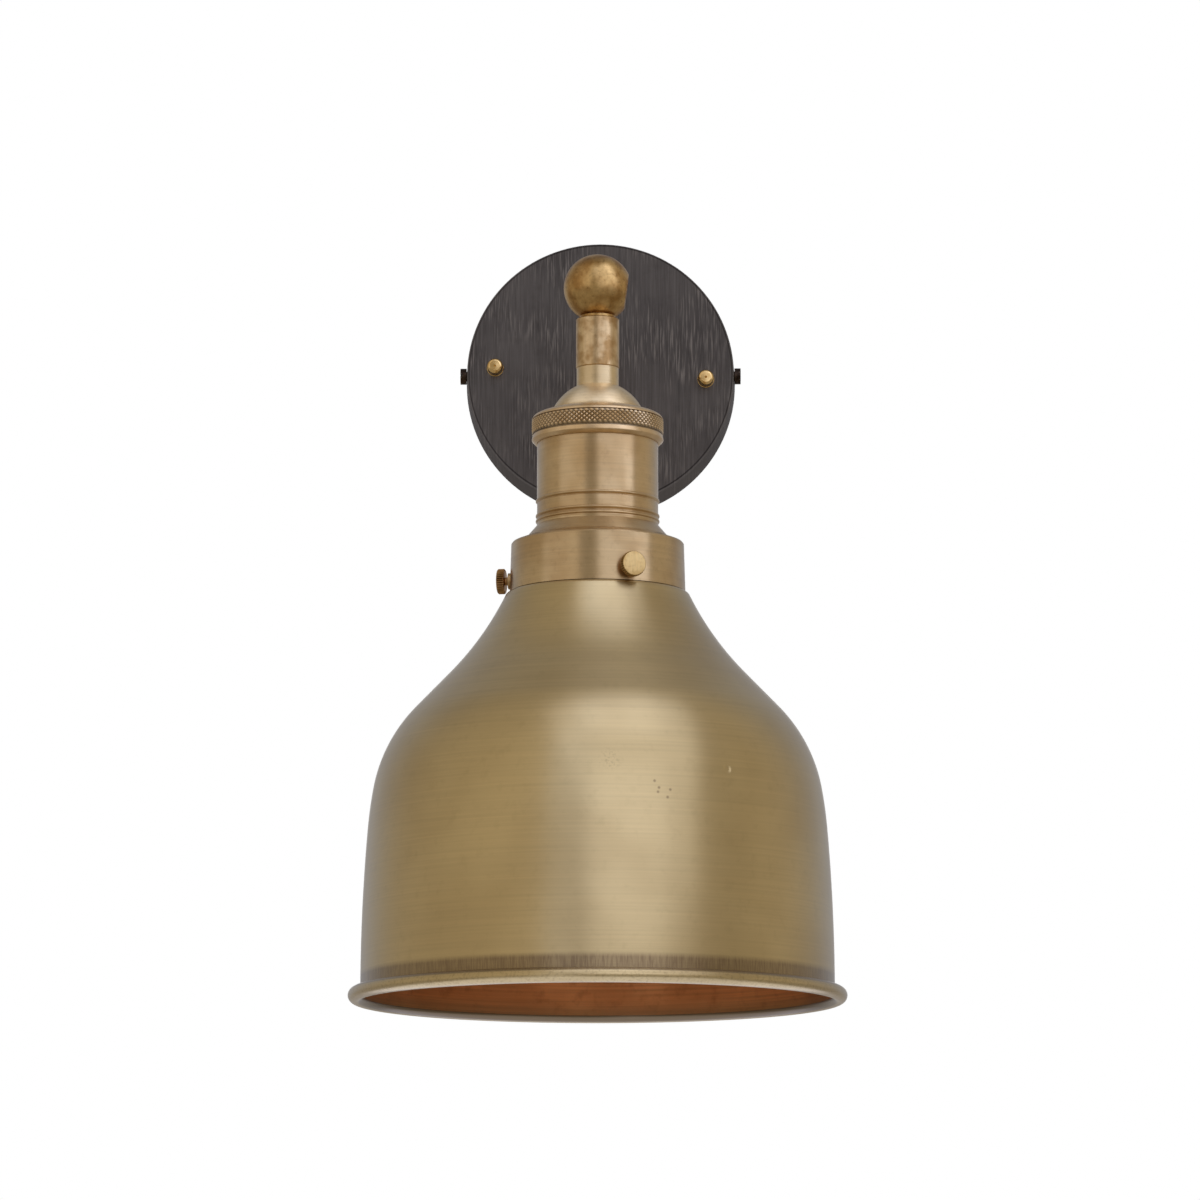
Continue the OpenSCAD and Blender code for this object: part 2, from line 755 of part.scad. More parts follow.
// Earth core, and the link from its barrel to the strap's earth screw
module earth_lead() {
    earth_pole = block_x + pole_pitch;
    link_z = -block_w/2 - 3;
    color("yellowgreen") {
        arm_lead(1, block_w/2 + 3 + 2*spread, 0, core_circle, wire_low + spread);
        wire([
            [earth_pole, -barrel_y, -4.5], [earth_pole, -barrel_y, link_z],
            [earth_x, -strap_t - wire_r - 0.3, link_z], [earth_x, -strap_t - wire_r - 0.1, -3.7]
        ]);
        on_wall() translate([earth_x, 0, strap_t]) tube(4.2, small_r + hole_gap, 0.05, wire_r + 0.05);
    }
}

// Ball: a sphere with a collar below, a flat on its right, and a slot for the eye's stem
module slot_sector() {
    far = ball_r + 4;
    circle(r = cavity_r);
    for (a = [-tilt_in, tilt_out]) {
        rotate(a) translate([0, -slot_half]) square([far, 2*slot_half]);
    }
    polygon(concat([[0, 0]],
        [for (i = [0:4]) let (a = -tilt_in + (tilt_out + tilt_in)*i/4) [far*cos(a), far*sin(a)]]));
}

module swivel_ball() {
    color("#9c7a45") at_head() difference() {
        union() {
            sphere(r = ball_r);
            rod(ball_collar_d/2, z_neck, 0);
        }
        rotate([90, 0, 90]) translate([0, 0, -cavity_half])
            linear_extrude(2*cavity_half) slot_sector();
        rod(hollow_tap_r, z_neck - 1, -cavity_r + 1);
        rotate([0, flat_slant, 0]) translate([ball_flat, -ball_r, -ball_r])
            cube([ball_r, ball_d, ball_d]);
        rotate([0, 90, 0]) {
            rod(pivot_d/2, pivot_end - 0.5, 0);
            rod(pivot_d/2 + thread_gap, 0, ball_r);
            rod(pivot_head_d/2 + thread_gap, ball_flat - pivot_sink - pivot_head_h - 0.9, ball_r);
        }
    }
}

module pivot_screw() {
    head_back = ball_flat - pivot_sink - pivot_head_h - 0.9;
    color("#8a6d3f") at_head() rotate([0, 90, 0]) difference() {
        union() {
            rod(pivot_head_d/2, head_back, head_back + pivot_head_h);
            rod(pivot_d/2 - thread_gap + 0.03, pivot_end, head_back);
        }
        translate([-pivot_head_d, -0.5, head_back + pivot_head_h - 1])
            cube([2*pivot_head_d, 1, 2]);
    }
}

module friction_washers() {
    color("dimgray") at_head() rotate([0, 90, 0]) for (side = [0, 1]) mirror([0, 0, side]) {
        tube(eye_boss_r - 0.2, pivot_d/2 + thread_gap, cavity_half - washer_t, cavity_half);
    }
}

module neck_nipple() {
    color("gold") at_head() tube(hollow_r, hollow_bore_r, z_nipple_bottom, z_nipple_top);
}

module neck_nut() {
    color("gold") at_head() hollow_nut(z_boss - hex_nut_h, z_boss);
}

module neck_tube() {
    chamfer = 0.3;
    color("#a88b5c") at_head() turned([
        [hollow_tap_r + thread_gap, z_neck], [neck_r - chamfer, z_neck], [neck_r, z_neck - chamfer],
        [neck_r, z_cap + chamfer], [neck_r - chamfer, z_cap], [hollow_tap_r + thread_gap, z_cap]
    ]);
}

// Cap: its own neck, the dome and a flange under the ring, with an earth boss inside
module cap_outline() {
    inner_r = dome_r - cap_wall;
    foot_in = dome_foot_r - cap_wall;
    from = acos(cap_neck_r/dome_r);
    to = acos(dome_foot_r/dome_r);
    from_in = acos(foot_in/inner_r);
    to_in = acos(cap_neck_r/inner_r);
    polygon(concat(
        [[hollow_tap_r, z_cap], [cap_neck_r - 0.2, z_cap], [cap_neck_r, z_cap - 0.2]],
        arc(0, z_dome_centre, dome_r, from, to, 8),
        [[dome_foot_r, z_flange], [holder_r - free_gap, z_flange], [holder_r - free_gap, z_holder]],
        [[foot_in, z_holder]],
        arc(0, z_dome_centre, inner_r, from_in, to_in, 8),
        [[cap_neck_r, z_boss], [hollow_tap_r, z_boss]]
    ));
}

module holder_cap() {
    color("#b8a078") at_head() difference() {
        union() {
            rotate_extrude() cap_outline();
            intersection() {
                translate([0, 0, z_dome_centre]) sphere(r = dome_r - cap_wall/2);
                translate([0, earth_y, 0]) rod(2.8, z_earth_boss, z_dome);
            }
        }
        translate([0, earth_y, 0]) rod(1.5, z_earth_boss - 1, z_earth_boss + 3.5);
    }
}

module cap_earth_screw() {
    color("goldenrod") at_head() translate([0, earth_y, z_earth_boss - wire_d/2 - 0.1])
        rotate([180, 0, 0]) slotted_screw(2.6, 1.5, 1.5 - thread_gap, wire_d/2 + 3, 0);
}

// Ring: a crowned top that holds the cap's flange, a band for the fingers and a smooth lip
module knurled_ring() {
    inner_r = holder_r + thread_gap;
    knee_r = holder_r + 0.3;
    color("#b39a6c") at_head() turned(concat(
        [[dome_foot_r + 0.75, z_flange], [dome_foot_r + 0.75, z_ring], [knee_r, z_ring - 2.2]],
        [for (i = [1:5]) let (a = 90*i/5)
            [knee_r + (ring_r - knee_r)*sin(a), z_knurl + (ring_crown_h - 2.2)*cos(a)]],
        [[ring_r, z_groove], [ring_r - ring_groove, z_groove], [ring_r - ring_groove, z_lip]],
        [[ring_r, z_lip], [ring_r, z_lip - 0.9], [holder_r + 0.7, z_ring_end], [inner_r, z_ring_end]],
        [[inner_r, z_flange]]
    ));
}

// Body: a tube with three rolled beads, stepped in at its lower end to a thread
module round_ring(centre_r, up, r) {
    translate([0, 0, z_shoulder + up]) rotate_extrude() translate([centre_r, 0]) circle(r = r);
}

module holder_body() {
    bead_r = 0.6;
    groove_r = 0.3;
    groove_down = bead_r + groove_r;
    color("#b39a74") at_head() difference() {
        union() {
            turned([
                [holder_in_r, z_holder], [holder_r, z_holder], [holder_r, z_shoulder],
                [holder_thread_r, z_shoulder], [holder_thread_r, z_thread_end],
                [holder_thread_r - holder_wall, z_thread_end],
                [holder_thread_r - holder_wall, z_shoulder + holder_wall],
                [holder_in_r, z_shoulder + holder_wall]
            ]);
            for (up = [bead_high, bead_mid, bead_low]) {
                round_ring(holder_r + bead_proud - bead_r, up, bead_r);
            }
        }
        for (up = [bead_high, bead_mid]) {
            round_ring(holder_r + 0.1, up - groove_down, groove_r);
        }
    }
}

// Carrier: a flange on the holder's step, a flare, a shallow cone and a nearly straight wall
module carrier_outline() {
    flare_up = z_shoulder - 0.6;
    wall = carrier_wall;
    slope = atan2(flare_up - z_flare, flare_r - carrier_neck_r);
    cone = atan2(crown_h, carrier_top_r - flare_r);
    polygon([
        [holder_thread_r + 0.15, z_shoulder], [carrier_neck_r, z_shoulder],
        [carrier_neck_r, flare_up], [flare_r, z_flare],
        [carrier_top_r - 0.4, z_carrier_corner + 0.15], [carrier_top_r, z_carrier_corner - 0.4],
        [carrier_r, z_carrier_end], [carrier_r - wall, z_carrier_end],
        [carrier_top_r - wall, z_carrier_corner - wall],
        [flare_r - wall*tan((slope - cone)/2) - wall*sin(cone), z_flare - wall*cos(cone)],
        [carrier_neck_r - wall*tan(slope/2), z_shoulder - wall],
        [holder_thread_r + 0.15, z_shoulder - wall]
    ]);
}

module shade_carrier() {
    color("#b39a74") at_head() difference() {
        union() {
            rotate_extrude() carrier_outline();
            for (a = THUMB_ANGLES) at_screw(a) {
                rod(thumb_boss_r, carrier_inner_at(z_screw) + carrier_wall/2,
                    carrier_r + thumb_boss_h);
            }
        }
        for (a = THUMB_ANGLES) at_screw(a) rod(thumb_r + thread_gap, thumb_tip - 1, carrier_r + 3);
    }
}

// Local z runs outwards from the lamp's axis at a screw's angle
module at_screw(angle) {
    translate([0, 0, z_screw]) rotate([0, 0, angle]) rotate([90, 0, 0]) children();
}

module clamp_ring() {
    color("#b39a74") at_head() turned([
        [holder_thread_r + thread_gap, z_clamp], [clamp_r, z_clamp],
        [clamp_r, z_clamp - clamp_h + grip_h], [clamp_grip_r, z_clamp - clamp_h + grip_h],
        [clamp_grip_r, z_clamp - clamp_h], [holder_thread_r + thread_gap, z_clamp - clamp_h]
    ]);
}

// Porcelain: a terminal chamber above a floor, and a bore for the screw shell below it
module socket_core() {
    bore_r = shell_out_r + 0.2;
    color("white") at_head() difference() {
        turned([
            [0, z_floor], [core_r - core_wall, z_floor], [core_r - core_wall, z_core],
            [core_r, z_core], [core_r, z_core_step], [core_low_r, z_core_step],
            [core_low_r, z_core_end + 0.6], [core_low_r - 0.6, z_core_end], [bore_r, z_core_end],
            [bore_r, z_floor_under], [0, z_floor_under]
        ]);
        for (x = [live_x, neutral_x]) {
            translate([x, 0, 0]) rod(floor_screw_r + hole_gap, z_floor_under - 1, z_floor + 1);
        }
    }
}

// Screw shell with one leg that runs up to a tab under the porcelain floor
module socket_shell() {
    top = z_floor_under - thread_gap;
    leg_w = 5;
    leg_x = shell_r + 0.05;
    leg_t = shell_wall - 0.15;
    color("#c9a86a") at_head() difference() {
        union() {
            tube(shell_out_r, shell_r, z_core_end + 1, z_shell_top);
            translate([leg_x, -leg_w/2, z_shell_top - 1])
                cube([leg_t, leg_w, top - z_shell_top + 1]);
            translate([tab_x, -leg_w/2, top - shell_wall])
                cube([leg_x + leg_t - tab_x, leg_w, shell_wall]);
        }
        translate([neutral_x, 0, 0]) rod(floor_screw_r + hole_gap, top - 2, top + 1);
    }
}

// Brass tongue that presses on the lamp's centre contact
module centre_contact() {
    top = z_floor_under - thread_gap;
    drop = 4.4;
    tip = 2;
    bend_x = live_x + 3;
    color("#d2b16d") at_head() difference() {
        translate([0, 2.5, top]) rotate([90, 0, 0]) linear_extrude(5) polygon([
            [live_x - 2.8, 0], [bend_x, 0], [tip, -drop], [tip + 1.6, -drop + 0.8],
            [tip + 1.4, -drop + 0.3], [tip, -drop - contact_t], [bend_x - 0.3, -contact_t],
            [live_x - 2.8, -contact_t]
        ]);
        translate([live_x, 0, 0]) rod(floor_screw_r + hole_gap, top - 2, top + 1);
    }
}

// The two brass blocks that the wires are clamped in
module terminal_posts() {
    color("#c9a86a") at_head() for (x = [live_x, neutral_x]) translate([x, 0, z_floor]) {
        side = sign(x);
        difference() {
            translate([-post_half_x, -post_back, 0])
                cube([2*post_half_x, post_back + post_front, post_h]);
            rod(floor_screw_r + thread_gap, -1, 3.4);
            translate([0, post_wire_y, 0]) rod(wire_r + 0.15, post_h - post_wire_depth, post_h + 1);
            translate([0, post_wire_y, post_h - 2.6]) rotate([0, side*90, 0])
                rod(1.25, 0, post_half_x + 1);
        }
    }
}

module post_screws() {
    color("silver") at_head() for (x = [live_x, neutral_x]) {
        side = sign(x);
        translate([x + side*(post_half_x + 0.02), post_wire_y, z_floor + post_h - 2.6])
            rotate([0, side*90, 0]) slotted_screw(2, 1.2, 1.2, post_half_x - wire_r - 0.2, 0);
    }
}

module floor_screws() {
    color("silver") at_head() for (x = [live_x, neutral_x]) {
        under = x < 0 ? contact_t : shell_wall;
        translate([x, 0, z_floor_under - thread_gap - under - 0.02]) rotate([180, 0, 0])
            slotted_screw(2.3, 1.3, floor_screw_r, floor_t + under + 3, 0);
    }
}

// A core's path from the top of the neck to a post
function post_wire(x, from) = [
    [from, -core_low, z_nipple_top], [from, -core_low, z_nipple_bottom - 1.2],
    [x, post_wire_y, z_floor + post_h + 1.6], [x, post_wire_y, z_floor + post_h - post_wire_depth + 0.5]
];

module live_tail() {
    color("saddlebrown") at_head() wire(post_wire(live_x, -core_x));
}

module neutral_tail() {
    color("royalblue") at_head() wire(post_wire(neutral_x, core_x));
}

module earth_tail() {
    tag_r = 3.2;
    tag_hole_r = 1.7;
    tag_z = z_earth_boss - wire_r - 0.05;
    color("yellowgreen") at_head() {
        wire([
            [0, core_circle, z_nipple_top], [0, core_circle, z_nipple_bottom - 0.6],
            [0, earth_y - tag_r + 0.3, tag_z]
        ]);
        translate([0, earth_y, 0]) tube(tag_r, tag_hole_r, tag_z, tag_z + wire_r);
    }
}

// Spun bell: a neck with a lip, a ledge, a hollow cone, a round shoulder and a rolled rim
module shade() {
    z_lip_top = z_lip_under + lip_h;
    color("#a08a5c") at_head() turned(concat(
        [[lip_r, z_lip_top], [lip_r, z_lip_under]],
        outside(path_shade),
        inside(path_shade, sheet),
        [[shade_neck_r - sheet, z_lip_top]]
    ));
}

module thumbscrew(angle) {
    straight = carrier_r + thumb_boss_h + 0.2;
    edge = 0.4;
    head_r = thumb_head_d/2;
    groove_r = PI*head_r/thumb_ridges*0.8;
    color("#a9844f") at_head() at_screw(angle) difference() {
        turned([
            [0, thumb_tip], [thumb_r - 0.5, thumb_tip], [thumb_r, thumb_tip + 0.5],
            [thumb_r, straight], [thumb_waist_r, straight + 0.3],
            [thumb_waist_r, thumb_head - 0.3], [thumb_waist_r + 0.4, thumb_head],
            [head_r - edge, thumb_head], [head_r, thumb_head + edge],
            [head_r, thumb_head + thumb_head_t - edge], [head_r - edge, thumb_head + thumb_head_t],
            [0, thumb_head + thumb_head_t]
        ]);
        for (i = [0:thumb_ridges - 1]) rotate([0, 0, (i + 0.5)*360/thumb_ridges]) {
            translate([head_r - ridge_depth + groove_r, 0, thumb_head - 1])
                cylinder(r = groove_r, h = thumb_head_t + 2);
        }
    }
}

module thumbscrew_front() {
    thumbscrew(THUMB_ANGLES[0]);
}

module thumbscrew_left() {
    thumbscrew(THUMB_ANGLES[1]);
}

module thumbscrew_back() {
    thumbscrew(THUMB_ANGLES[2]);
}

wall_strap();
earth_screw();
wall_plate();
side_screws();
inner_bridge();
bridge_screws();
cap_nuts();
terminal_block();
terminal_barrels();
terminal_screws();
block_screw();
arm_nipple();
arm_washer();
arm_nut();
arm_tube();
knuckle_eye();
live_lead();
neutral_lead();
earth_lead();
swivel_ball();
pivot_screw();
friction_washers();
neck_nipple();
neck_nut();
neck_tube();
holder_cap();
cap_earth_screw();
knurled_ring();
holder_body();
shade_carrier();
clamp_ring();
socket_core();
socket_shell();
centre_contact();
terminal_posts();
post_screws();
floor_screws();
live_tail();
neutral_tail();
earth_tail();
shade();
thumbscrew_front();
thumbscrew_left();
thumbscrew_back();
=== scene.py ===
"""Looks of a wall light: a bell shaped brass shade on a tilting ball, in front of a dark plate."""
import math

import bmesh
import bpy
from mathutils import Matrix, Vector


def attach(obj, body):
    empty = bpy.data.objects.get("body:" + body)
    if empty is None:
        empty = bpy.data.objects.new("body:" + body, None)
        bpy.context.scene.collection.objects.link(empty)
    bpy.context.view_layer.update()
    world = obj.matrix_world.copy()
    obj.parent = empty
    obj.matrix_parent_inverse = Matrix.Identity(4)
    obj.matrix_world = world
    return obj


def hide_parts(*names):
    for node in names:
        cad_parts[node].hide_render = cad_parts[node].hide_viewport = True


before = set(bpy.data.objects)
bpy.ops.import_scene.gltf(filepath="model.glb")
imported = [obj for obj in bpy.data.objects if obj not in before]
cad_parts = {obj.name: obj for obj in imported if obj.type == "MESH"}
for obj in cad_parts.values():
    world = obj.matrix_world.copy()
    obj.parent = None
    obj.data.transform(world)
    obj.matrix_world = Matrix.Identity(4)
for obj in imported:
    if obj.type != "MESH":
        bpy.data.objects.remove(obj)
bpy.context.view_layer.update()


# Wall strap, bridge and their screws.
# Flat bars pressed from mild steel and zinc plated, with plated machine screws. The strap is
# screwed to the wall and the bridge spreads the arm's load behind the plate.

LAMP_AXIS = Vector((0, -0.175, 0))
# A quarter turn, which draws a highlight out across the tool lines
ACROSS = 0.25


def linear(code):
    """A colour written as sRGB hex, in the linear values that a shader takes."""
    shares = [int(code[place:place + 2], 16)/255 for place in (1, 3, 5)]
    return [s/12.92 if s <= 0.04045 else ((s + 0.055)/1.055)**2.4 for s in shares] + [1]


def add_node(tree, kind, inputs, stops=(), **settings):
    """Adds a shader node with its settings, its inputs' values or links, and a ramp's stops."""
    node = tree.nodes.new("ShaderNode" + kind)
    for name, value in settings.items():
        setattr(node, name, value)
    for name, value in inputs.items():
        if isinstance(value, bpy.types.NodeSocket):
            tree.links.new(value, node.inputs[name])
        else:
            node.inputs[name].default_value = value
    for number, (place, colour) in enumerate(stops):
        ramp = node.color_ramp.elements
        stop = ramp[number] if number < 2 else ramp.new(place)
        stop.position = place
        stop.color = colour
    return node


def surface(name, **values):
    """A new material and its shader, with the values that are the same all over the surface."""
    material = bpy.data.materials.new(name)
    material.use_nodes = True
    shader = material.node_tree.nodes["Principled BSDF"]
    for socket, value in values.items():
        shader.inputs[socket.replace("_", " ")].default_value = value
    return material, material.node_tree, shader


def metal_finish(name, bright, dull, stain, rough, patch_mm, stain_mm, line_mm, line_depth,
                 stains=0.3, turned=0, lacquer=0, edge="#FFFFFF"):
    """A metal with dull patches, small stains and fine tool lines, each of a real size in mm. On
    turned metal the lines run round the lamp's axis and draw its highlights out across them."""
    material, tree, shader = surface(name, Metallic=1, Anisotropic=turned, Coat_Weight=lacquer,
                                     Coat_Roughness=0.3, Specular_Tint=linear(edge))
    place = add_node(tree, "TexCoord", {}).outputs["Object"]
    patches = add_node(tree, "TexNoise", {
        "Vector": place, "Scale": 1000/patch_mm, "Detail": 2, "Roughness": 0.5,
    })
    patch = add_node(tree, "MapRange", {
        "Value": patches.outputs["Fac"], "From Min": 0.36, "From Max": 0.66,
    }, interpolation_type="SMOOTHSTEP")
    specks = add_node(tree, "TexNoise", {
        "Vector": place, "Scale": 1000/stain_mm, "Detail": 3, "Roughness": 0.6,
    })
    speck = add_node(tree, "MapRange", {
        "Value": specks.outputs["Fac"], "From Min": 0.54, "From Max": 0.74, "To Max": stains,
    })
    stretched = add_node(tree, "Mapping", {
        "Vector": place, "Scale": [1000/size for size in line_mm],
    })
    lines = add_node(tree, "TexNoise", {
        "Vector": stretched.outputs[0], "Scale": 1, "Detail": 3, "Roughness": 0.55,
    }).outputs["Fac"]
    tarnished = add_node(tree, "Mix", {
        0: patch.outputs[0], 6: linear(bright), 7: linear(dull),
    }, data_type="RGBA")
    stained = add_node(tree, "Mix", {
        0: speck.outputs[0], 6: tarnished.outputs[2], 7: linear(stain),
    }, data_type="RGBA")
    shade_of_line = add_node(tree, "MapRange", {
        "Value": lines, "From Min": 0.3, "From Max": 0.7,
        "To Min": 1 - line_depth, "To Max": 1 + line_depth/2,
    })
    colour = add_node(tree, "Mix", {
        0: 1, 6: stained.outputs[2], 7: shade_of_line.outputs[0],
    }, data_type="RGBA", blend_type="MULTIPLY")
    polish = add_node(tree, "MapRange", {
        "Value": patches.outputs["Fac"], "From Min": 0.3, "From Max": 0.7,
        "To Min": rough, "To Max": rough + 0.06,
    })
    relief = add_node(tree, "Bump", {"Height": lines, "Strength": 0.5, "Distance": 0.00002})
    tree.links.new(colour.outputs[2], shader.inputs["Base Color"])
    tree.links.new(polish.outputs[0], shader.inputs["Roughness"])
    tree.links.new(relief.outputs[0], shader.inputs["Normal"])
    if turned:
        off_axis = add_node(tree, "VectorMath", {0: place, 1: LAMP_AXIS}, operation="SUBTRACT")
        round_axis = add_node(tree, "VectorMath", {
            0: (0, 0, 1), 1: off_axis.outputs[0],
        }, operation="CROSS_PRODUCT")
        tangent = add_node(tree, "VectorTransform", {
            "Vector": round_axis.outputs[0],
        }, vector_type="VECTOR", convert_from="OBJECT", convert_to="WORLD")
        shader.inputs["Anisotropic Rotation"].default_value = ACROSS
        tree.links.new(tangent.outputs[0], shader.inputs["Tangent"])
    return material


def dress(material, *names):
    """Gives a finish to solids of the frame."""
    for name in names:
        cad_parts[name].material_slots[0].material = material


# Zinc plated steel: the thin coat looks cool and cloudy, with faint rolling lines along the bar
zinc = metal_finish("zinc_plated_steel", "#D5D7DA", "#A9ADB2", "#8B8A86", 0.34, 9, 2.5,
                    (25, 25, 0.6), 0.06)
dress(zinc, "wall_strap", "inner_bridge", "bridge_screws")


# Terminal block and its barrels.
# A white nylon block moulded with three posts, screwed to the bridge. Each post holds a turned
# brass barrel with two clamp screws. The strap's earth screw is of the same brass.

# Moulded nylon: a little translucent at its edges, matt, with a faint orange peel
nylon, nylon_tree, nylon_shader = surface("moulded_nylon", IOR=1.53, Roughness=0.48,
                                          Subsurface_Weight=0.15, Subsurface_Scale=0.001)
nylon_place = add_node(nylon_tree, "TexCoord", {}).outputs["Object"]
peel = add_node(nylon_tree, "TexNoise", {"Vector": nylon_place, "Scale": 1000/0.8, "Detail": 2})
nylon_colour = add_node(nylon_tree, "Mix", {
    0: peel.outputs["Fac"], 6: linear("#EFEDE6"), 7: linear("#E2DFD4"),
}, data_type="RGBA")
nylon_relief = add_node(nylon_tree, "Bump", {
    "Height": peel.outputs["Fac"], "Strength": 0.3, "Distance": 0.00003,
})
nylon_tree.links.new(nylon_colour.outputs[2], nylon_shader.inputs["Base Color"])
nylon_tree.links.new(nylon_relief.outputs[0], nylon_shader.inputs["Normal"])
dress(nylon, "terminal_block")
dress(zinc, "terminal_screws", "block_screw")

# Free cutting brass, bright from the lathe, with fine rings and a few handling marks
turned_brass = metal_finish("turned_brass", "#E3CB94", "#C4A469", "#94713F", 0.29, 6, 1.8,
                            (20, 20, 0.5), 0.07)
dress(turned_brass, "terminal_barrels", "earth_screw")


# Cores of the supply and of the lamp.
# Three stranded copper cores in smooth PVC sleeves, clamped in the terminal block, drawn through
# the arm, and clamped again in the lamp holder's posts.

def pvc_sleeve(name, pale, deep):
    """Extruded PVC: satin, even in colour, with faint rubs along its length."""
    material, tree, shader = surface(name, IOR=1.53, Roughness=0.38)
    place = add_node(tree, "TexCoord", {}).outputs["Object"]
    rubs = add_node(tree, "TexNoise", {"Vector": place, "Scale": 1000/4, "Detail": 5}).outputs["Fac"]
    colour = add_node(tree, "Mix", {0: rubs, 6: linear(pale), 7: linear(deep)}, data_type="RGBA")
    relief = add_node(tree, "Bump", {"Height": rubs, "Strength": 0.2, "Distance": 0.00004})
    tree.links.new(colour.outputs[2], shader.inputs["Base Color"])
    tree.links.new(relief.outputs[0], shader.inputs["Normal"])
    return material


dress(pvc_sleeve("brown_pvc_sleeve", "#6B4327", "#54331D"), "live_lead", "live_tail")
dress(pvc_sleeve("blue_pvc_sleeve", "#2F6FB5", "#255B98"), "neutral_lead", "neutral_tail")
dress(pvc_sleeve("green_pvc_sleeve", "#A8BF3A", "#7F9B2A"), "earth_lead", "earth_tail")


# Wall plate.
# A shallow cup spun from sheet steel, blackened in a bath and then brushed up and down by hand,
# so that hairlines of paler metal show through. It slides over the strap.

# Blackened steel: low in colour, satin, with upright hairlines about 0.5 mm apart, drawn at 0.8 mm
# so that they show. A second pass of the brush leans a little and has left paler strokes in places.
# The side wall is painted paler as painted light, and a painted shadow line runs where it turns into
# the face.
FACE_EDGE = 0.0524


def stain_with(tree, factor, code):
    """Mixes a colour into a finish where a factor says."""
    shader = tree.nodes["Principled BSDF"]
    mixed = add_node(tree, "Mix", {
        0: factor, 6: shader.inputs["Base Color"].links[0].from_socket, 7: linear(code),
    }, data_type="RGBA")
    tree.links.new(mixed.outputs[2], shader.inputs["Base Color"])


blackened = metal_finish("blackened_brushed_steel", "#7D7C84", "#706F77", "#585558", 0.42, 26, 5,
                         (0.7, 30, 22), 0.22, stains=0.2, edge="#808080")
plate_tree = blackened.node_tree
plate_place = add_node(plate_tree, "TexCoord", {}).outputs["Object"]
leaning = add_node(plate_tree, "Mapping", {
    "Vector": plate_place, "Rotation": (0, math.radians(12), 0), "Scale": (1000/0.6, 1, 1000/11),
})
strokes = add_node(plate_tree, "TexNoise", {"Vector": leaning.outputs[0], "Scale": 1, "Detail": 2})
stroke = add_node(plate_tree, "MapRange", {
    "Value": strokes.outputs["Fac"], "From Min": 0.5, "From Max": 0.68,
})
areas = add_node(plate_tree, "TexNoise", {"Vector": plate_place, "Scale": 1000/24, "Detail": 1})
area = add_node(plate_tree, "MapRange", {
    "Value": areas.outputs["Fac"], "From Min": 0.4, "From Max": 0.6, "To Max": 0.9,
})
pale = add_node(plate_tree, "Math", {0: stroke.outputs[0], 1: area.outputs[0]}, operation="MULTIPLY")
stain_with(plate_tree, pale.outputs[0], "#A8A6AE")
plate_flat = add_node(plate_tree, "VectorMath", {0: plate_place, 1: (1, 0, 1)}, operation="MULTIPLY")
plate_radius = add_node(plate_tree, "VectorMath", {
    0: plate_flat.outputs[0],
}, operation="LENGTH").outputs["Value"]
# Painted light: the side wall is made paler than the face
side_painted_light = add_node(plate_tree, "MapRange", {
    "Value": plate_radius, "From Min": FACE_EDGE + 0.0002, "From Max": FACE_EDGE + 0.0008,
    "To Max": 0.55,
})
stain_with(plate_tree, side_painted_light.outputs[0], "#BAB6B7")
from_line = add_node(plate_tree, "Math", {0: plate_radius, 1: FACE_EDGE}, operation="SUBTRACT")
line_width = add_node(plate_tree, "Math", {0: from_line.outputs[0]}, operation="ABSOLUTE")
# Painted shade: a dark line along the crease between the face and the side wall
crease_painted_shade = add_node(plate_tree, "MapRange", {
    "Value": line_width.outputs[0], "From Min": 0.0004, "From Max": 0.0001, "To Max": 0.7,
})
stain_with(plate_tree, crease_painted_shade.outputs[0], "#2E2A2B")
dress(blackened, "wall_plate")

# Screws in the plate's side: blackened like the plate, worn to brown metal on the high spots
worn_black = metal_finish("worn_blackened_screw", "#4A3D33", "#2E2622", "#7A5F42", 0.38, 2.2, 1.2,
                          (0.6, 0.6, 0.6), 0.2)
dress(worn_black, "side_screws")


# Cap nuts on the plate's front.
# Turned from brass bar and polished: a foot ring, a groove and a domed head.

# Polished brass: pale, with almost no tarnish yet and faint turning rings
polished = metal_finish("polished_brass", "#F2CF8E", "#E3BC78", "#A98A52", 0.16, 4, 1.6,
                        (6, 0.4, 6), 0.06)
dress(polished, "cap_nuts")


# Arm and the eye in its end.
# A straight brass tube, aged brown in a bath, held behind the plate by a hollow thread, a washer
# and a nut. The flat eye of its turned spigot sits between two fibre washers inside the ball.

# Aged brass tube: brown where the bath has stayed, rubbed paler in long patches
aged = metal_finish("aged_brass_tube", "#C0A272", "#94713F", "#6C4B27", 0.3, 7, 2.4,
                    (40, 0.7, 40), 0.12)
dress(aged, "arm_tube", "knuckle_eye")
dress(turned_brass, "arm_nipple", "arm_nut")
dress(zinc, "arm_washer")

# Vulcanised fibre: matt, dark, with short pressed hairs
fibre, fibre_tree, fibre_shader = surface("vulcanised_fibre", IOR=1.5, Roughness=0.8)
fibre_place = add_node(fibre_tree, "TexCoord", {}).outputs["Object"]
hairs = add_node(fibre_tree, "TexNoise", {"Vector": fibre_place, "Scale": 1000/0.5, "Detail": 6})
fibre_colour = add_node(fibre_tree, "Mix", {
    0: hairs.outputs["Fac"], 6: linear("#4A3F38"), 7: linear("#2C2623"),
}, data_type="RGBA")
fibre_tree.links.new(fibre_colour.outputs[2], fibre_shader.inputs["Base Color"])
dress(fibre, "friction_washers")


# Swivel ball and its pivot screw.
# A sand cast brass ball, tumbled and aged: a fine skin of pits and cloudy brown patches.
# One side is milled flat and the back is slotted for the eye's stem.

# Cast brass: the pits are 0.3 to 0.6 mm, the clouds 4 to 8 mm
cast_brass = metal_finish("cast_aged_brass", "#D3AE70", "#A98048", "#6B461E", 0.29, 6.5, 1.7,
                          (0.9, 0.9, 0.9), 0.14, stains=0.5)
dress(cast_brass, "swivel_ball", "pivot_screw")


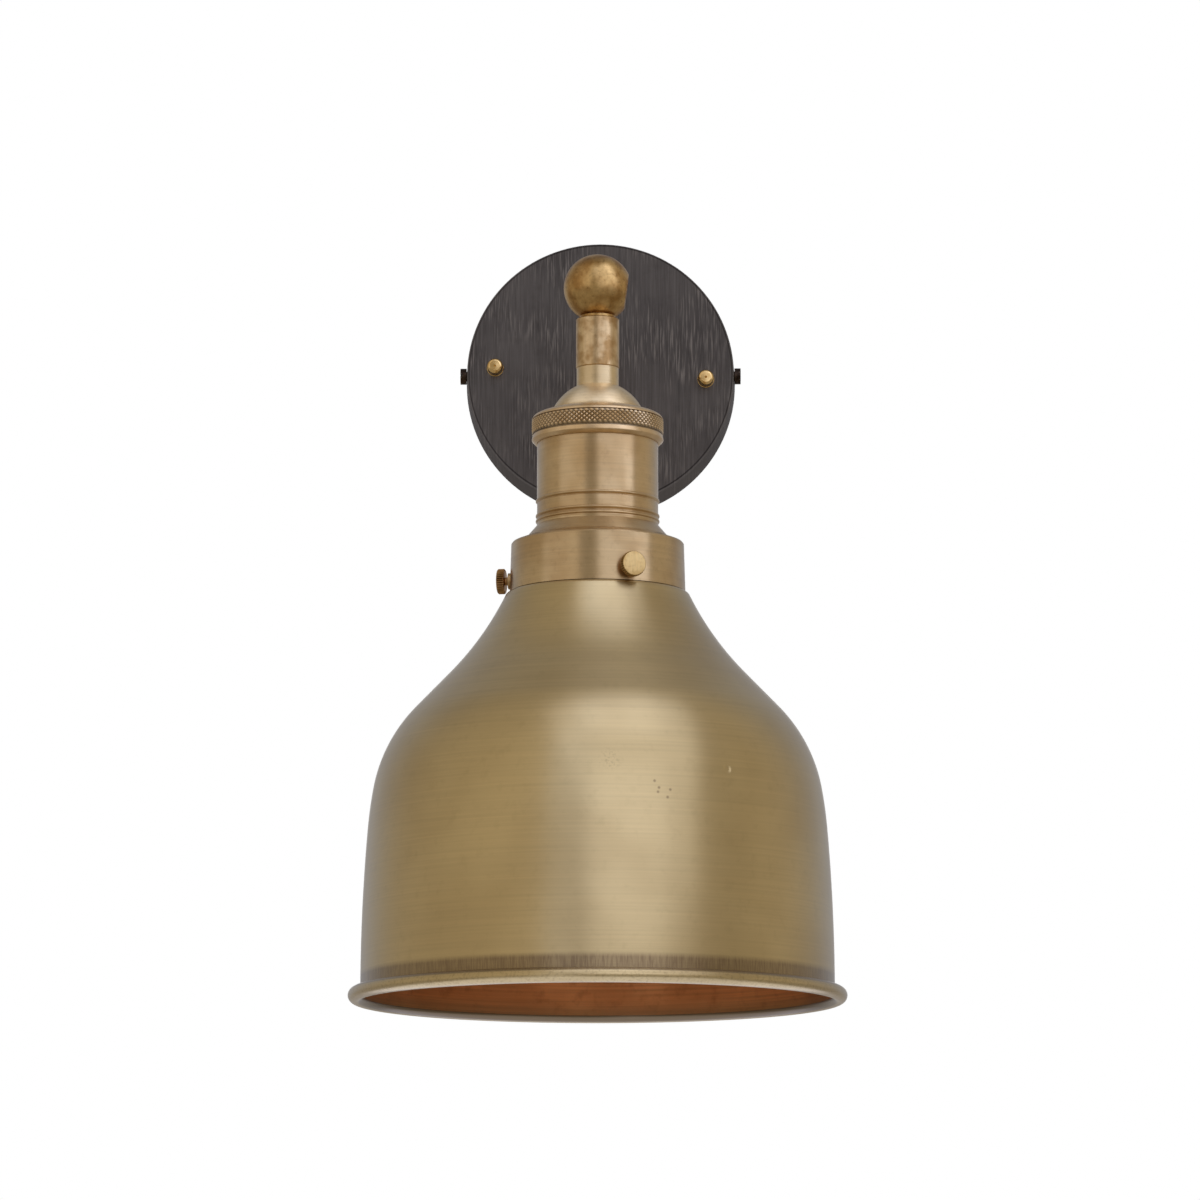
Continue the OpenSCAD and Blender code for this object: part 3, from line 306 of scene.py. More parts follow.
# Upper neck.
# A short piece of brass tube, left rougher than the cap below it: brown tarnish with dark specks
# and paler upright rubs. A hollow thread and its nut, hidden inside, join the ball to the cap.

# Tarnished brass: specks of 0.5 to 1 mm and patches that run along the tube
tarnished_neck = metal_finish("tarnished_brass_tube", "#DCBF90", "#B4905F", "#6E4F2A", 0.3, 5, 1.3,
                              (1.2, 1.2, 9), 0.12)
dress(tarnished_neck, "neck_tube")
dress(turned_brass, "neck_nipple", "neck_nut")


# Cap of the lamp holder.
# A brass dome with its own short neck, spun from sheet and brushed on the lathe. Its flange sits
# on the holder's rim under the knurled ring. The earth screw inside it is plain turned brass.

# From the head's own frame, in mm from the ball's centre, to the scene's in metres
HEAD = Matrix.Translation(LAMP_AXIS) @ Matrix.Scale(0.001, 4)
ROUND = 2*math.pi


def outline(bm, corners):
    """Draws a closed outline of (radius, height, rounding) in mm and rounds its corners."""
    verts = [bm.verts.new((radius, 0, height)) for radius, height, _ in corners]
    for first, second in zip(verts, verts[1:] + verts[:1]):
        bm.edges.new((first, second))
    for vert, (_, _, rounding) in zip(verts, corners):
        if rounding:
            bmesh.ops.bevel(bm, geom=[vert], offset=rounding, segments=5, profile=0.5,
                            affect="VERTICES", material=-1)


def line_on(bm, tip, corners):
    """Carries an outline on from a vertex in straight lines, through (radius, height) in mm."""
    for radius, height in corners:
        after = bm.verts.new((radius, 0, height))
        bm.edges.new((tip, after))
        tip = after
    return tip


def arc_on(bm, tip, centre, angle, steps):
    """Carries an outline on from a vertex along an arc."""
    bend = bmesh.ops.spin(bm, geom=[tip], cent=centre, axis=(0, 1, 0), angle=angle, steps=steps,
                          use_duplicate=False)
    return [part for part in bend["geom_last"] if isinstance(part, bmesh.types.BMVert)][0]


def spin_closed(bm, steps):
    """Turns what the bmesh holds into a closed solid of revolution about z."""
    bmesh.ops.spin(bm, geom=bm.verts[:] + bm.edges[:], cent=(0, 0, 0), axis=(0, 0, 1),
                   angle=ROUND, steps=steps, use_merge=True, use_duplicate=False)
    bmesh.ops.remove_doubles(bm, verts=bm.verts, dist=0.0005)


def piece_from(bm, name, place, body, materials, nodes, sharp=38):
    """Makes a piece of a bmesh in mm, smooth but for its sharp corners, and joins it to the frame."""
    bmesh.ops.recalc_face_normals(bm, faces=bm.faces)
    for face in bm.faces:
        face.smooth = True
    for edge in bm.edges:
        edge.smooth = edge.calc_face_angle(0) < math.radians(sharp)
    bm.transform(place)
    mesh = bpy.data.meshes.new(name)
    bm.to_mesh(mesh)
    bm.free()
    for material in materials:
        mesh.materials.append(material)
    piece = bpy.data.objects.new(name, mesh)
    bpy.context.scene.collection.objects.link(piece)
    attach(piece, body)
    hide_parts(*nodes)
    return piece


# The steps of an arc: at least this many, and none longer than this angle or this length
FEWEST = 6
STEP_DEG = 4
STEP_MM = 1.6


def walk(bm, tip, heading, moves, inset=0):
    """Carries an outline on from a vertex. Each move is a straight run, then an arc of a radius
    and a turn. Headings are from straight down, outwards positive. The inset is how far this
    outline lies inside the one that the moves describe."""
    for run, radius, turn in moves:
        if run:
            along = Vector((math.sin(heading), 0, -math.cos(heading)))
            step = bmesh.ops.extrude_vert_indiv(bm, verts=[tip])
            tip = step["verts"][0]
            tip.co += run*along
        if turn:
            side = math.copysign(1, turn)
            arc_radius = radius + side*inset
            centre = tip.co + side*arc_radius*Vector((math.cos(heading), 0, math.sin(heading)))
            length = arc_radius*math.radians(abs(turn))
            steps = max(FEWEST, math.ceil(abs(turn)/STEP_DEG), math.ceil(length/STEP_MM))
            tip = arc_on(bm, tip, centre, -math.radians(turn), steps)
            heading += math.radians(turn)
    return tip


# Spun and brushed brass: rings 0.4 mm apart, drawn at 0.7 mm, with a thin veil of tarnish
satin_cap = metal_finish("brushed_brass_cap", "#E6CD9C", "#D9BD89", "#8E6F45", 0.36, 14, 2.6,
                         (30, 30, 0.7), 0.08, stains=0.2, turned=0.5, lacquer=0.8)
CAP_TOP = -30.3
CAP_EDGE = 0.2
CAP_NECK = 7.75
CAP_NECK_END = -37.1
DOME = 18.3
DOME_FOOT = 16.45
CAP_WALL = 1.2
FLANGE_TOP = -48.96
FLANGE_END = -50.16
FLANGE_EDGE = 21.9
THREAD = 5
BOSS_END = -40.5
DOME_STEPS = 40
AROUND_HOLDER = 128
dome_from = math.asin(CAP_NECK/DOME)
dome_to = math.asin(DOME_FOOT/DOME)
dome_centre = CAP_NECK_END - math.sqrt(DOME**2 - CAP_NECK**2)
inner = DOME - CAP_WALL
inner_from = math.asin((DOME_FOOT - CAP_WALL)/inner)
inner_to = math.asin(CAP_NECK/inner)
bm = bmesh.new()
top = bm.verts.new((THREAD, 0, CAP_TOP))
tip = walk(bm, top, math.radians(90), [
    (CAP_NECK - THREAD - CAP_EDGE, CAP_EDGE, -90), (CAP_TOP - CAP_EDGE - CAP_NECK_END, 0, 0),
])
tip = arc_on(bm, tip, (0, 0, dome_centre), dome_to - dome_from, DOME_STEPS)
tip = line_on(bm, tip, [
    (DOME_FOOT, FLANGE_TOP), (FLANGE_EDGE, FLANGE_TOP), (FLANGE_EDGE, FLANGE_END),
    (DOME_FOOT - CAP_WALL, FLANGE_END),
    (inner*math.sin(inner_from), dome_centre + inner*math.cos(inner_from)),
])
tip = arc_on(bm, tip, (0, 0, dome_centre), inner_to - inner_from, DOME_STEPS//2)
tip = line_on(bm, tip, [(CAP_NECK, BOSS_END), (THREAD, BOSS_END)])
bm.edges.new((tip, top))
spin_closed(bm, AROUND_HOLDER)
cap = piece_from(bm, "cap_dome", HEAD, "lamp_head", [satin_cap], ["holder_cap"])
dress(turned_brass, "cap_earth_screw")


# Knurled ring.
# Turned brass that clamps the cap to the holder: a rounded crown, a band of diamond knurling for
# the fingers, a groove and a smooth lip. Rolling raises the knurls; their tips carry a painted
# highlight, and their valleys and the groove painted shade.

# Knurled brass, with a painted highlight on the tips and painted shade in the valleys, which are 0.5
# mm deeper
RING = 24.2
KNURL_DEPTH = 0.5


def from_axis(tree, place):
    """A point's distance from the lamp's axis, in metres."""
    offset = add_node(tree, "VectorMath", {0: place, 1: LAMP_AXIS}, operation="SUBTRACT")
    level = add_node(tree, "VectorMath", {0: offset.outputs[0], 1: (1, 1, 0)}, operation="MULTIPLY")
    return add_node(tree, "VectorMath", {0: level.outputs[0]}, operation="LENGTH").outputs["Value"]


def scale_colour_with(tree, factor):
    """Multiplies a finish's colour by a factor: over 1 makes it paler, under 1 darker."""
    shader = tree.nodes["Principled BSDF"]
    rubbed = add_node(tree, "Mix", {
        0: 1, 6: shader.inputs["Base Color"].links[0].from_socket, 7: factor,
    }, data_type="RGBA", blend_type="MULTIPLY")
    tree.links.new(rubbed.outputs[2], shader.inputs["Base Color"])


turned_ring = metal_finish("turned_brass_ring", "#EBCB99", "#DBB882", "#7D5C33", 0.3, 10, 2.2,
                           (30, 30, 0.7), 0.08, stains=0.2, turned=0.6, lacquer=0.8)
knurled_brass = metal_finish("knurled_brass", "#E3C596", "#D5B37F", "#7D5C33", 0.29, 10, 2.2,
                             (30, 30, 0.7), 0.08, stains=0.2, lacquer=0.8)
knurl_tree = knurled_brass.node_tree
knurl_place = add_node(knurl_tree, "TexCoord", {}).outputs["Object"]
# Painted shade in the valleys and the groove, painted highlight on the tips
knurl_painted_shade_and_highlight = add_node(knurl_tree, "MapRange", {
    "Value": from_axis(knurl_tree, knurl_place),
    "From Min": (RING - KNURL_DEPTH)/1000, "From Max": RING/1000, "To Min": 0.4, "To Max": 1.5,
})
scale_colour_with(knurl_tree, knurl_painted_shade_and_highlight.outputs[0])

KNURL_TOP = -49.6
KNURL_END = -55.06
KNURL_ROWS = 7
KNURLS = 156
GROOVE = 0.6
LIP_TOP = -55.66
LIP_END = -58.56
LIP_FOOT = 22.9
RING_TOP = -46.06
RING_SEAT = FLANGE_TOP + 0.05
RING_HOLE = 17.2
CROWN = 22.3
CROWN_DROP = 1.7
BORE = 22.25
SHOULDER_IN = 0.4
SHOULDER_UP = 0.9
BAND_IN = 0.2
BAND_OUT = 0.12
LIP_IN = 0.3
LIP_SLOPE = 1.7
# Two places this close, in mm or in rows of knurls, are the same
NEAR = 0.01
row_h = (KNURL_TOP - KNURL_END)/KNURL_ROWS
bm = bmesh.new()
outline(bm, [
    (RING_HOLE, RING_SEAT, 0), (RING_HOLE, RING_TOP, 0.3), (CROWN, RING_TOP - CROWN_DROP, 0.6),
    (RING - SHOULDER_IN, KNURL_TOP + SHOULDER_UP, 0.6), (RING - BAND_IN, KNURL_TOP + BAND_OUT, 0.1),
] + [(RING, KNURL_TOP - row*row_h, 0) for row in range(KNURL_ROWS + 1)] + [
    (RING - BAND_IN, KNURL_END - BAND_OUT, 0), (RING - GROOVE, KNURL_END - BAND_OUT - 0.02, 0),
    (RING - GROOVE, LIP_TOP, 0), (RING - LIP_IN, LIP_TOP, 0.15), (RING, LIP_TOP - LIP_SLOPE, 0.3),
    (LIP_FOOT, LIP_END, 0.25), (BORE, LIP_END, 0), (BORE, RING_SEAT, 0),
])
spin_closed(bm, KNURLS)

# Every other corner of the band and all of its end rows are sunk, with a crease between sunk corners
sunk = set()
for vert in bm.verts:
    row = (KNURL_TOP - vert.co.z)/row_h
    on_band = abs(row - round(row)) < NEAR and 0 <= round(row) <= KNURL_ROWS
    if on_band and vert.co.xy.length > RING - NEAR:
        column = round(math.atan2(vert.co.y, vert.co.x)/ROUND*KNURLS)
        if (column + round(row)) % 2 or round(row) in (0, KNURL_ROWS):
            vert.co.xy *= 1 - KNURL_DEPTH/RING
            sunk.add(vert)
for face in bm.faces[:]:
    low = [vert for vert in face.verts if vert in sunk]
    if len(low) == 2 and len(face.verts) == 4 and low[0] not in [
            edge.other_vert(low[1]) for edge in low[1].link_edges]:
        bmesh.utils.face_split(face, low[0], low[1])
# The band and the groove below it take the knurled finish, which paints the groove dark as painted
# shade
for face in bm.faces:
    middle = face.calc_center_median()
    on_band = LIP_TOP - 0.05 < middle.z < KNURL_TOP + 0.2 and middle.xy.length > RING - 1
    face.material_index = 1 if on_band else 0
piece_from(bm, "ring_with_knurls", HEAD, "lamp_head", [turned_ring, knurled_brass],
           ["knurled_ring"], sharp=25)


# Lamp holder and clamp ring.
# A brass cylinder with three rolled beads near its foot, stepped in to a thread that takes the
# clamp ring. It is brushed on the lathe and lacquered thinly.

# Brushed brass: rings drawn at 0.7 mm, a warm veil of tarnish in wide soft patches
satin_holder = metal_finish("brushed_brass_holder", "#D5B785", "#C6A46F", "#8A6A40", 0.285, 16, 2.8,
                            (35, 35, 0.7), 0.09, stains=0.2, turned=0.8, lacquer=0.8)
dress(satin_holder, "clamp_ring")

HOLDER = 22.2
HOLDER_WALL = 1
HOLDER_TOP = -50.16
SHOULDER_Z = -88.66
THREAD_END = -99.06
CLAMP_THREAD = 18.5
BEADS = (8.6, 3, 1.1)
BEAD = 0.65
PROUD = 0.5
GROOVE_IN = 0.25
bm = bmesh.new()
corners = [(HOLDER - HOLDER_WALL, HOLDER_TOP, 0), (HOLDER, HOLDER_TOP, 0.1)]
for up in BEADS:
    middle = SHOULDER_Z + up
    corners += [(HOLDER, middle + BEAD, 0), (HOLDER + PROUD, middle + 0.5*BEAD, 0.3),
                (HOLDER + PROUD, middle - 0.4*BEAD, 0.25), (HOLDER, middle - 0.8*BEAD, 0)]
    if up > BEADS[-1]:
        corners += [(HOLDER - GROOVE_IN, middle - BEAD, 0.1),
                    (HOLDER - GROOVE_IN, middle - 1.4*BEAD, 0.1), (HOLDER, middle - 1.6*BEAD, 0.1)]
corners += [
    (HOLDER, SHOULDER_Z, 0.1), (CLAMP_THREAD, SHOULDER_Z, 0), (CLAMP_THREAD, THREAD_END, 0.3),
    (CLAMP_THREAD - HOLDER_WALL, THREAD_END, 0), (CLAMP_THREAD - HOLDER_WALL, SHOULDER_Z + 1, 0),
    (HOLDER - HOLDER_WALL, SHOULDER_Z + 1, 0),
]
outline(bm, corners)
spin_closed(bm, AROUND_HOLDER)
piece_from(bm, "holder_with_beads", HEAD, "lamp_head", [satin_holder],
           ["holder_body"])


# Lamp socket.
# A porcelain insulator pressed and fired without glaze on its seats, with turned posts, their
# screws and a centre contact, and a screw shell rolled from thin brass with a round thread.

# Porcelain: clean white body, glazed thinly, with a soft ripple from the pressing
porcelain, porcelain_tree, porcelain_shader = surface("glazed_porcelain", IOR=1.5, Coat_Weight=0.5,
                                                      Coat_Roughness=0.12)
porcelain_place = add_node(porcelain_tree, "TexCoord", {}).outputs["Object"]
ripple = add_node(porcelain_tree, "TexNoise", {
    "Vector": porcelain_place, "Scale": 1000/5, "Detail": 3,
}).outputs["Fac"]
porcelain_colour = add_node(porcelain_tree, "Mix", {
    0: ripple, 6: linear("#F3F1EA"), 7: linear("#E5E1D6"),
}, data_type="RGBA")
porcelain_rough = add_node(porcelain_tree, "MapRange", {
    "Value": ripple, "To Min": 0.24, "To Max": 0.4,
})
porcelain_relief = add_node(porcelain_tree, "Bump", {
    "Height": ripple, "Strength": 0.3, "Distance": 0.0001,
})
porcelain_tree.links.new(porcelain_colour.outputs[2], porcelain_shader.inputs["Base Color"])
porcelain_tree.links.new(porcelain_rough.outputs[0], porcelain_shader.inputs["Roughness"])
porcelain_tree.links.new(porcelain_relief.outputs[0], porcelain_shader.inputs["Normal"])
dress(porcelain, "socket_core")
dress(turned_brass, "terminal_posts", "centre_contact")
dress(zinc, "post_screws", "floor_screws")

PITCH = 3.629
CREST = 12.45
ROOT = 13.3
SHELL_TOP = -75.56
SHELL_END = -97.46
SHELL_SHEET = 0.45
WAVE_STEPS = 10
TURNS = 9
TURN_STEPS = 56

# One wave of the thread, wound up past both ends, cut level and thickened
bm = bmesh.new()
wave_foot = SHELL_END - 2*PITCH
wave = [bm.verts.new((ROOT, 0, wave_foot))]
for number in range(1, WAVE_STEPS + 1):
    share = number/WAVE_STEPS
    radius = (ROOT + CREST)/2 + (ROOT - CREST)/2*math.cos(ROUND*share)
    wave.append(bm.verts.new((radius, 0, wave_foot + share*PITCH)))
    bm.edges.new((wave[-2], wave[-1]))
bmesh.ops.spin(bm, geom=bm.verts[:] + bm.edges[:], cent=(0, 0, 0), axis=(0, 0, 1),
               dvec=(0, 0, PITCH/TURN_STEPS), angle=ROUND*TURNS, steps=TURNS*TURN_STEPS,
               use_duplicate=False)
bmesh.ops.remove_doubles(bm, verts=bm.verts, dist=NEAR)
for height, up in ((SHELL_TOP, 1), (SHELL_END, -1)):
    bmesh.ops.bisect_plane(bm, geom=bm.verts[:] + bm.edges[:] + bm.faces[:],
                           plane_co=(0, 0, height), plane_no=(0, 0, up), clear_outer=True)
bmesh.ops.recalc_face_normals(bm, faces=bm.faces)
if sum(face.normal.dot(Vector((*face.calc_center_median().xy, 0))) for face in bm.faces) < 0:
    bmesh.ops.reverse_faces(bm, faces=bm.faces)
bmesh.ops.solidify(bm, geom=bm.faces[:], thickness=SHELL_SHEET)

# The leg beside the shell and the tab under the porcelain's floor, which join it to its screw
LEG_W = 5
LEG_T = 0.45
LEG_X = 13.4
LEG_LAP = 1.5
TAB_X = 6.6
TAB_T = 0.6
CORE_FLOOR = -69.11
leg = bmesh.ops.create_cube(bm, size=1)["verts"]
bmesh.ops.scale(bm, verts=leg, vec=(LEG_T, LEG_W, CORE_FLOOR - SHELL_TOP + LEG_LAP))
bmesh.ops.translate(bm, verts=leg, vec=(LEG_X + LEG_T/2, 0, (CORE_FLOOR + SHELL_TOP - LEG_LAP)/2))
tab = bmesh.ops.create_cube(bm, size=1)["verts"]
bmesh.ops.scale(bm, verts=tab, vec=(LEG_X - TAB_X + LEG_T, LEG_W, TAB_T))
bmesh.ops.translate(bm, verts=tab, vec=((LEG_X + TAB_X + LEG_T)/2, 0, CORE_FLOOR - TAB_T/2))
piece_from(bm, "rolled_screw_shell", HEAD, "lamp_head", [turned_brass],
           ["socket_shell"])


# Shade carrier.
# A spun brass gallery: a flare from the holder's foot, a shallow crown and a nearly straight
# wall with three tapped bosses for the thumbscrews.

# The same brushed brass as the holder, a little browner from handling
satin_carrier = metal_finish("brushed_brass_carrier", "#D0B381", "#C2A16D", "#86663C", 0.285, 15, 2.4,
                             (40, 40, 0.7), 0.09, stains=0.2, turned=0.8, lacquer=0.8)
dress(satin_carrier, "shade_carrier")


# Shade.
# One bell spun from brass sheet over a former, with its edge rolled over outwards. The outside is
# brushed round and dulled green brown in places, and the inside is left copper brown.

NECK = 29.6
LIP_EDGE = 30.45
LIP_UNDER = -106.56
FOLD_TOP = -113.044
SKIRT = 85.5
CURL_TOP = -261.26
SHEET = 0.9
LEDGE = (1.7, 84)
FOLD = 1
LEDGE_ROUND = (2, 26)
SWEEP = (114, 44)
SHOULDER = (56, 10)
UPPER_SKIRT = (160, 4.6)
BOW = (700, 0)
CURL = 1.8
CURL_TURN = 300
AROUND_SHADE = 192


def growth(radius, from_deg, to_deg):
    """How much an arc adds to the shade's radius."""
    return radius*abs(math.cos(math.radians(from_deg)) - math.cos(math.radians(to_deg)))


def drop(radius, from_deg, to_deg):
    """How far an arc takes the shade down."""
    return radius*abs(math.sin(math.radians(from_deg)) - math.sin(math.radians(to_deg)))


headings = [0, LEDGE[1], LEDGE_ROUND[1], SWEEP[1], SHOULDER[1], UPPER_SKIRT[1], BOW[1]]
radii = [FOLD, LEDGE_ROUND[0], SWEEP[0], SHOULDER[0], UPPER_SKIRT[0], BOW[0]]
arcs = list(zip(radii, headings, headings[1:]))
ledge_slope = math.radians(LEDGE[1])
cone_slope = math.radians(SWEEP[1])
cone = (SKIRT - NECK - LEDGE[0]*math.sin(ledge_slope)
        - sum(growth(*arc) for arc in arcs))/math.sin(cone_slope)
skirt_run = (FOLD_TOP - CURL_TOP - LEDGE[0]*math.cos(ledge_slope) - cone*math.cos(cone_slope)
             - sum(drop(*arc) for arc in arcs))
runs = [LIP_UNDER - FOLD_TOP, LEDGE[0], 0, cone, 0, 0]
moves = [(run, radius, to_deg - from_deg) for run, (radius, from_deg, to_deg) in zip(runs, arcs)]
moves.append((skirt_run, CURL, CURL_TURN))
bm = bmesh.new()
neck_out = bm.verts.new((NECK, 0, LIP_UNDER))
curl_out = walk(bm, neck_out, 0, moves)
neck_in = bm.verts.new((NECK - SHEET, 0, LIP_UNDER))
curl_in = walk(bm, neck_in, 0, moves, inset=SHEET)
bm.edges.new((curl_out, curl_in))
lip = line_on(bm, neck_out, [
    (LIP_EDGE, LIP_UNDER), (LIP_EDGE, LIP_UNDER + SHEET), (NECK - SHEET, LIP_UNDER + SHEET),
])
bm.edges.new((lip, neck_in))
spin_closed(bm, AROUND_SHADE)

# Faces that look inwards or down, above the rolled edge, take the inside's finish
bmesh.ops.recalc_face_normals(bm, faces=bm.faces)
for face in bm.faces:
    middle = face.calc_center_median()
    inwards = face.normal.dot(Vector((*middle.xy, 0))) < 0 or face.normal.z < -0.5
    above_curl = middle.z > CURL_TOP + 0.6 and middle.xy.length < SKIRT - 0.5
    face.material_index = 1 if inwards and above_curl else 0

# Brushed brass sheet: rings drawn at 0.8 mm, faint green brown clouds and a few fine stains
brushed_shade = metal_finish("brushed_brass_shade", "#CAB27C", "#BFA670", "#8E7848", 0.29, 45, 4,
                             (70, 70, 0.8), 0.07, stains=0.12, turned=0.5, lacquer=1)
shade_tree = brushed_shade.node_tree
shade_shader = shade_tree.nodes["Principled BSDF"]
shade_place = add_node(shade_tree, "TexCoord", {}).outputs["Object"]
shade_height = add_node(shade_tree, "SeparateXYZ", {0: shade_place}).outputs["Z"]


def spot(centre_mm, size_mm):
    """A soft round mark on the shade: 1 up to a quarter of its size, 0 beyond its size."""
    size = size_mm/1000
    away = add_node(shade_tree, "VectorMath", {
        0: shade_place, 1: [part/1000 for part in centre_mm],
    }, operation="DISTANCE")
    return add_node(shade_tree, "MapRange", {
        "Value": away.outputs["Value"], "From Min": size, "From Max": size/4,
    }, interpolation_type="SMOOTHSTEP").outputs[0]


# Handling marks: five specks of 0.5 mm, a smudge of finer ones and a dent that a knock has left
SPECKS = [(20.4, -254.9, -193.2), (21.9, -254.7, -195.6), (24.9, -254.2, -198.9),
          (21.6, -255.1, -197.1), (25.8, -253.5, -196.2)]
SPECK_SIZE = 0.75
SMUDGE = (4.9, -256.1, -185.8)
SMUDGE_SIZE = 5.5
DENT = (45.8, -242.4, -187.5)
DENT_SIZE = 2
marked = spot(SPECKS[0], SPECK_SIZE)
for mark in SPECKS[1:]:
    marked = add_node(shade_tree, "Math", {
        0: marked, 1: spot(mark, SPECK_SIZE),
    }, operation="MAXIMUM").outputs[0]
stain_with(shade_tree, marked, "#957E53")
grains = add_node(shade_tree, "TexNoise", {"Vector": shade_place, "Scale": 1000/0.9, "Detail": 3})
grain = add_node(shade_tree, "MapRange", {
    "Value": grains.outputs["Fac"], "From Min": 0.5, "From Max": 0.66, "To Max": 0.4,
})
smudge = add_node(shade_tree, "Math", {
    0: grain.outputs[0], 1: spot(SMUDGE, SMUDGE_SIZE),
}, operation="MULTIPLY")
stain_with(shade_tree, smudge.outputs[0], "#8E784C")

# Above the rolled edge a dark band with short upright scratches 0.5 mm apart: partly tarnish where
# the brush can't reach and partly painted shade from the crease above the bead. The bead itself is
# rubbed and speckled.
BAND_TOP = -0.2530
BAND_FULL = -0.2548
BAND_FOOT = -0.2592
upright = add_node(shade_tree, "Mapping", {
    "Vector": shade_place, "Scale": (1000/0.5, 1000/0.5, 1000/6),
})
scratches = add_node(shade_tree, "TexNoise", {
    "Vector": upright.outputs[0], "Scale": 1, "Detail": 2,
})
scratch = add_node(shade_tree, "MapRange", {
    "Value": scratches.outputs["Fac"], "From Min": 0.4, "From Max": 0.6, "To Min": 0.7, "To Max": 1,
})
# Painted shade and tarnish: the band above the bead is darkened
band = add_node(shade_tree, "MapRange", {
    "Value": shade_height, "From Min": BAND_TOP, "From Max": BAND_FULL, "To Max": 0.8,
})
band_tarnish_and_painted_shade = add_node(shade_tree, "Math", {
    0: band.outputs[0], 1: scratch.outputs[0],
}, operation="MULTIPLY")
on_bead = add_node(shade_tree, "MapRange", {
    "Value": shade_height, "From Min": BAND_FOOT - 0.0003, "From Max": BAND_FOOT - 0.0007,
})
not_bead = add_node(shade_tree, "MapRange", {"Value": on_bead.outputs[0], "To Min": 1, "To Max": 0})
in_band = add_node(shade_tree, "Math", {
    0: band_tarnish_and_painted_shade.outputs[0], 1: not_bead.outputs[0],
}, operation="MULTIPLY")
stain_with(shade_tree, in_band.outputs[0], "#6E5433")
bead_grain = add_node(shade_tree, "Math", {
    0: grain.outputs[0], 1: on_bead.outputs[0],
}, operation="MULTIPLY")
stain_with(shade_tree, bead_grain.outputs[0], "#8C7448")

# The edge inside the bead, and the last 5 mm of the wall inside it, stay dark and olive
EDGE_FROM = 0.0866
EDGE_FULL = 0.0858
inner_edge = add_node(shade_tree, "MapRange", {
    "Value": from_axis(shade_tree, shade_place), "From Min": EDGE_FROM, "From Max": EDGE_FULL,
})
dark_edge = add_node(shade_tree, "Math", {
    0: inner_edge.outputs[0], 1: on_bead.outputs[0],
}, operation="MULTIPLY")
stain_with(shade_tree, dark_edge.outputs[0], "#6A5530")

dented = add_node(shade_tree, "Bump", {
    "Height": spot(DENT, DENT_SIZE), "Strength": 0.7, "Distance": 0.0004,
    "Normal": shade_shader.inputs["Normal"].links[0].from_socket,
}, invert=True)
shade_tree.links.new(dented.outputs[0], shade_shader.inputs["Normal"])

# Copper brown inside: heated and brushed round, darker where the brush has missed
copper_inside = metal_finish("copper_brown_inside", "#E6A666", "#C98A50", "#7A4A24", 0.4, 30, 5,
                             (70, 70, 0.9), 0.2, turned=0.4)
OLIVE_FROM = -0.2555
OLIVE_FULL = -0.2625
inside_tree = copper_inside.node_tree
inside_place = add_node(inside_tree, "TexCoord", {}).outputs["Object"]
inside_height = add_node(inside_tree, "SeparateXYZ", {0: inside_place}).outputs["Z"]
near_edge = add_node(inside_tree, "MapRange", {
    "Value": inside_height, "From Min": OLIVE_FROM, "From Max": OLIVE_FULL, "To Max": 0.7,
})
stain_with(inside_tree, near_edge.outputs[0], "#7A6A48")
bell = piece_from(bm, "spun_bell", HEAD, "lamp_head", [brushed_shade, copper_inside],
                  ["shade"], sharp=50)


# Thumbscrews.
# Three turned brass screws with straight knurled rims and flat brushed faces, which press on the
# shade's neck. The left one has aged redder than the others.

TIP = 29.9
TIP_BEVEL = 0.5
SHANK = 1.9
WAIST = 1.4
WAIST_SLOPE = 0.3
STRAIGHT_END = 33.2
HEAD_BACK = 34.2
HEAD_T = 2.8
HEAD_R = 4.65
HEAD_BEVEL = 0.4
RIDGES = 34
RIDGE_DEPTH = 0.45
SCREW_HEIGHT = -108.76
FRONT_TURN = 21.4
screw_brass = metal_finish("brushed_brass_thumbscrew", "#D6B97F", "#BE9C60", "#7E5B30", 0.3, 5, 1.5,
                           (0.5, 6, 6), 0.12)
red_brass = metal_finish("reddened_brass_thumbscrew", "#C49C68", "#9C7444", "#6B4A28", 0.3, 5, 1.5,
                         (0.5, 6, 6), 0.12)
# Tarnish stays dark in the valleys of the rims, and the ridges are rubbed
for finish in (screw_brass, red_brass):
    in_valley = add_node(finish.node_tree, "Attribute", {}, attribute_name="valley")
    tarnish = add_node(finish.node_tree, "MapRange", {
        "Value": in_valley.outputs["Fac"], "To Min": 1.15, "To Max": 0.3,
    })
    scale_colour_with(finish.node_tree, tarnish.outputs[0])

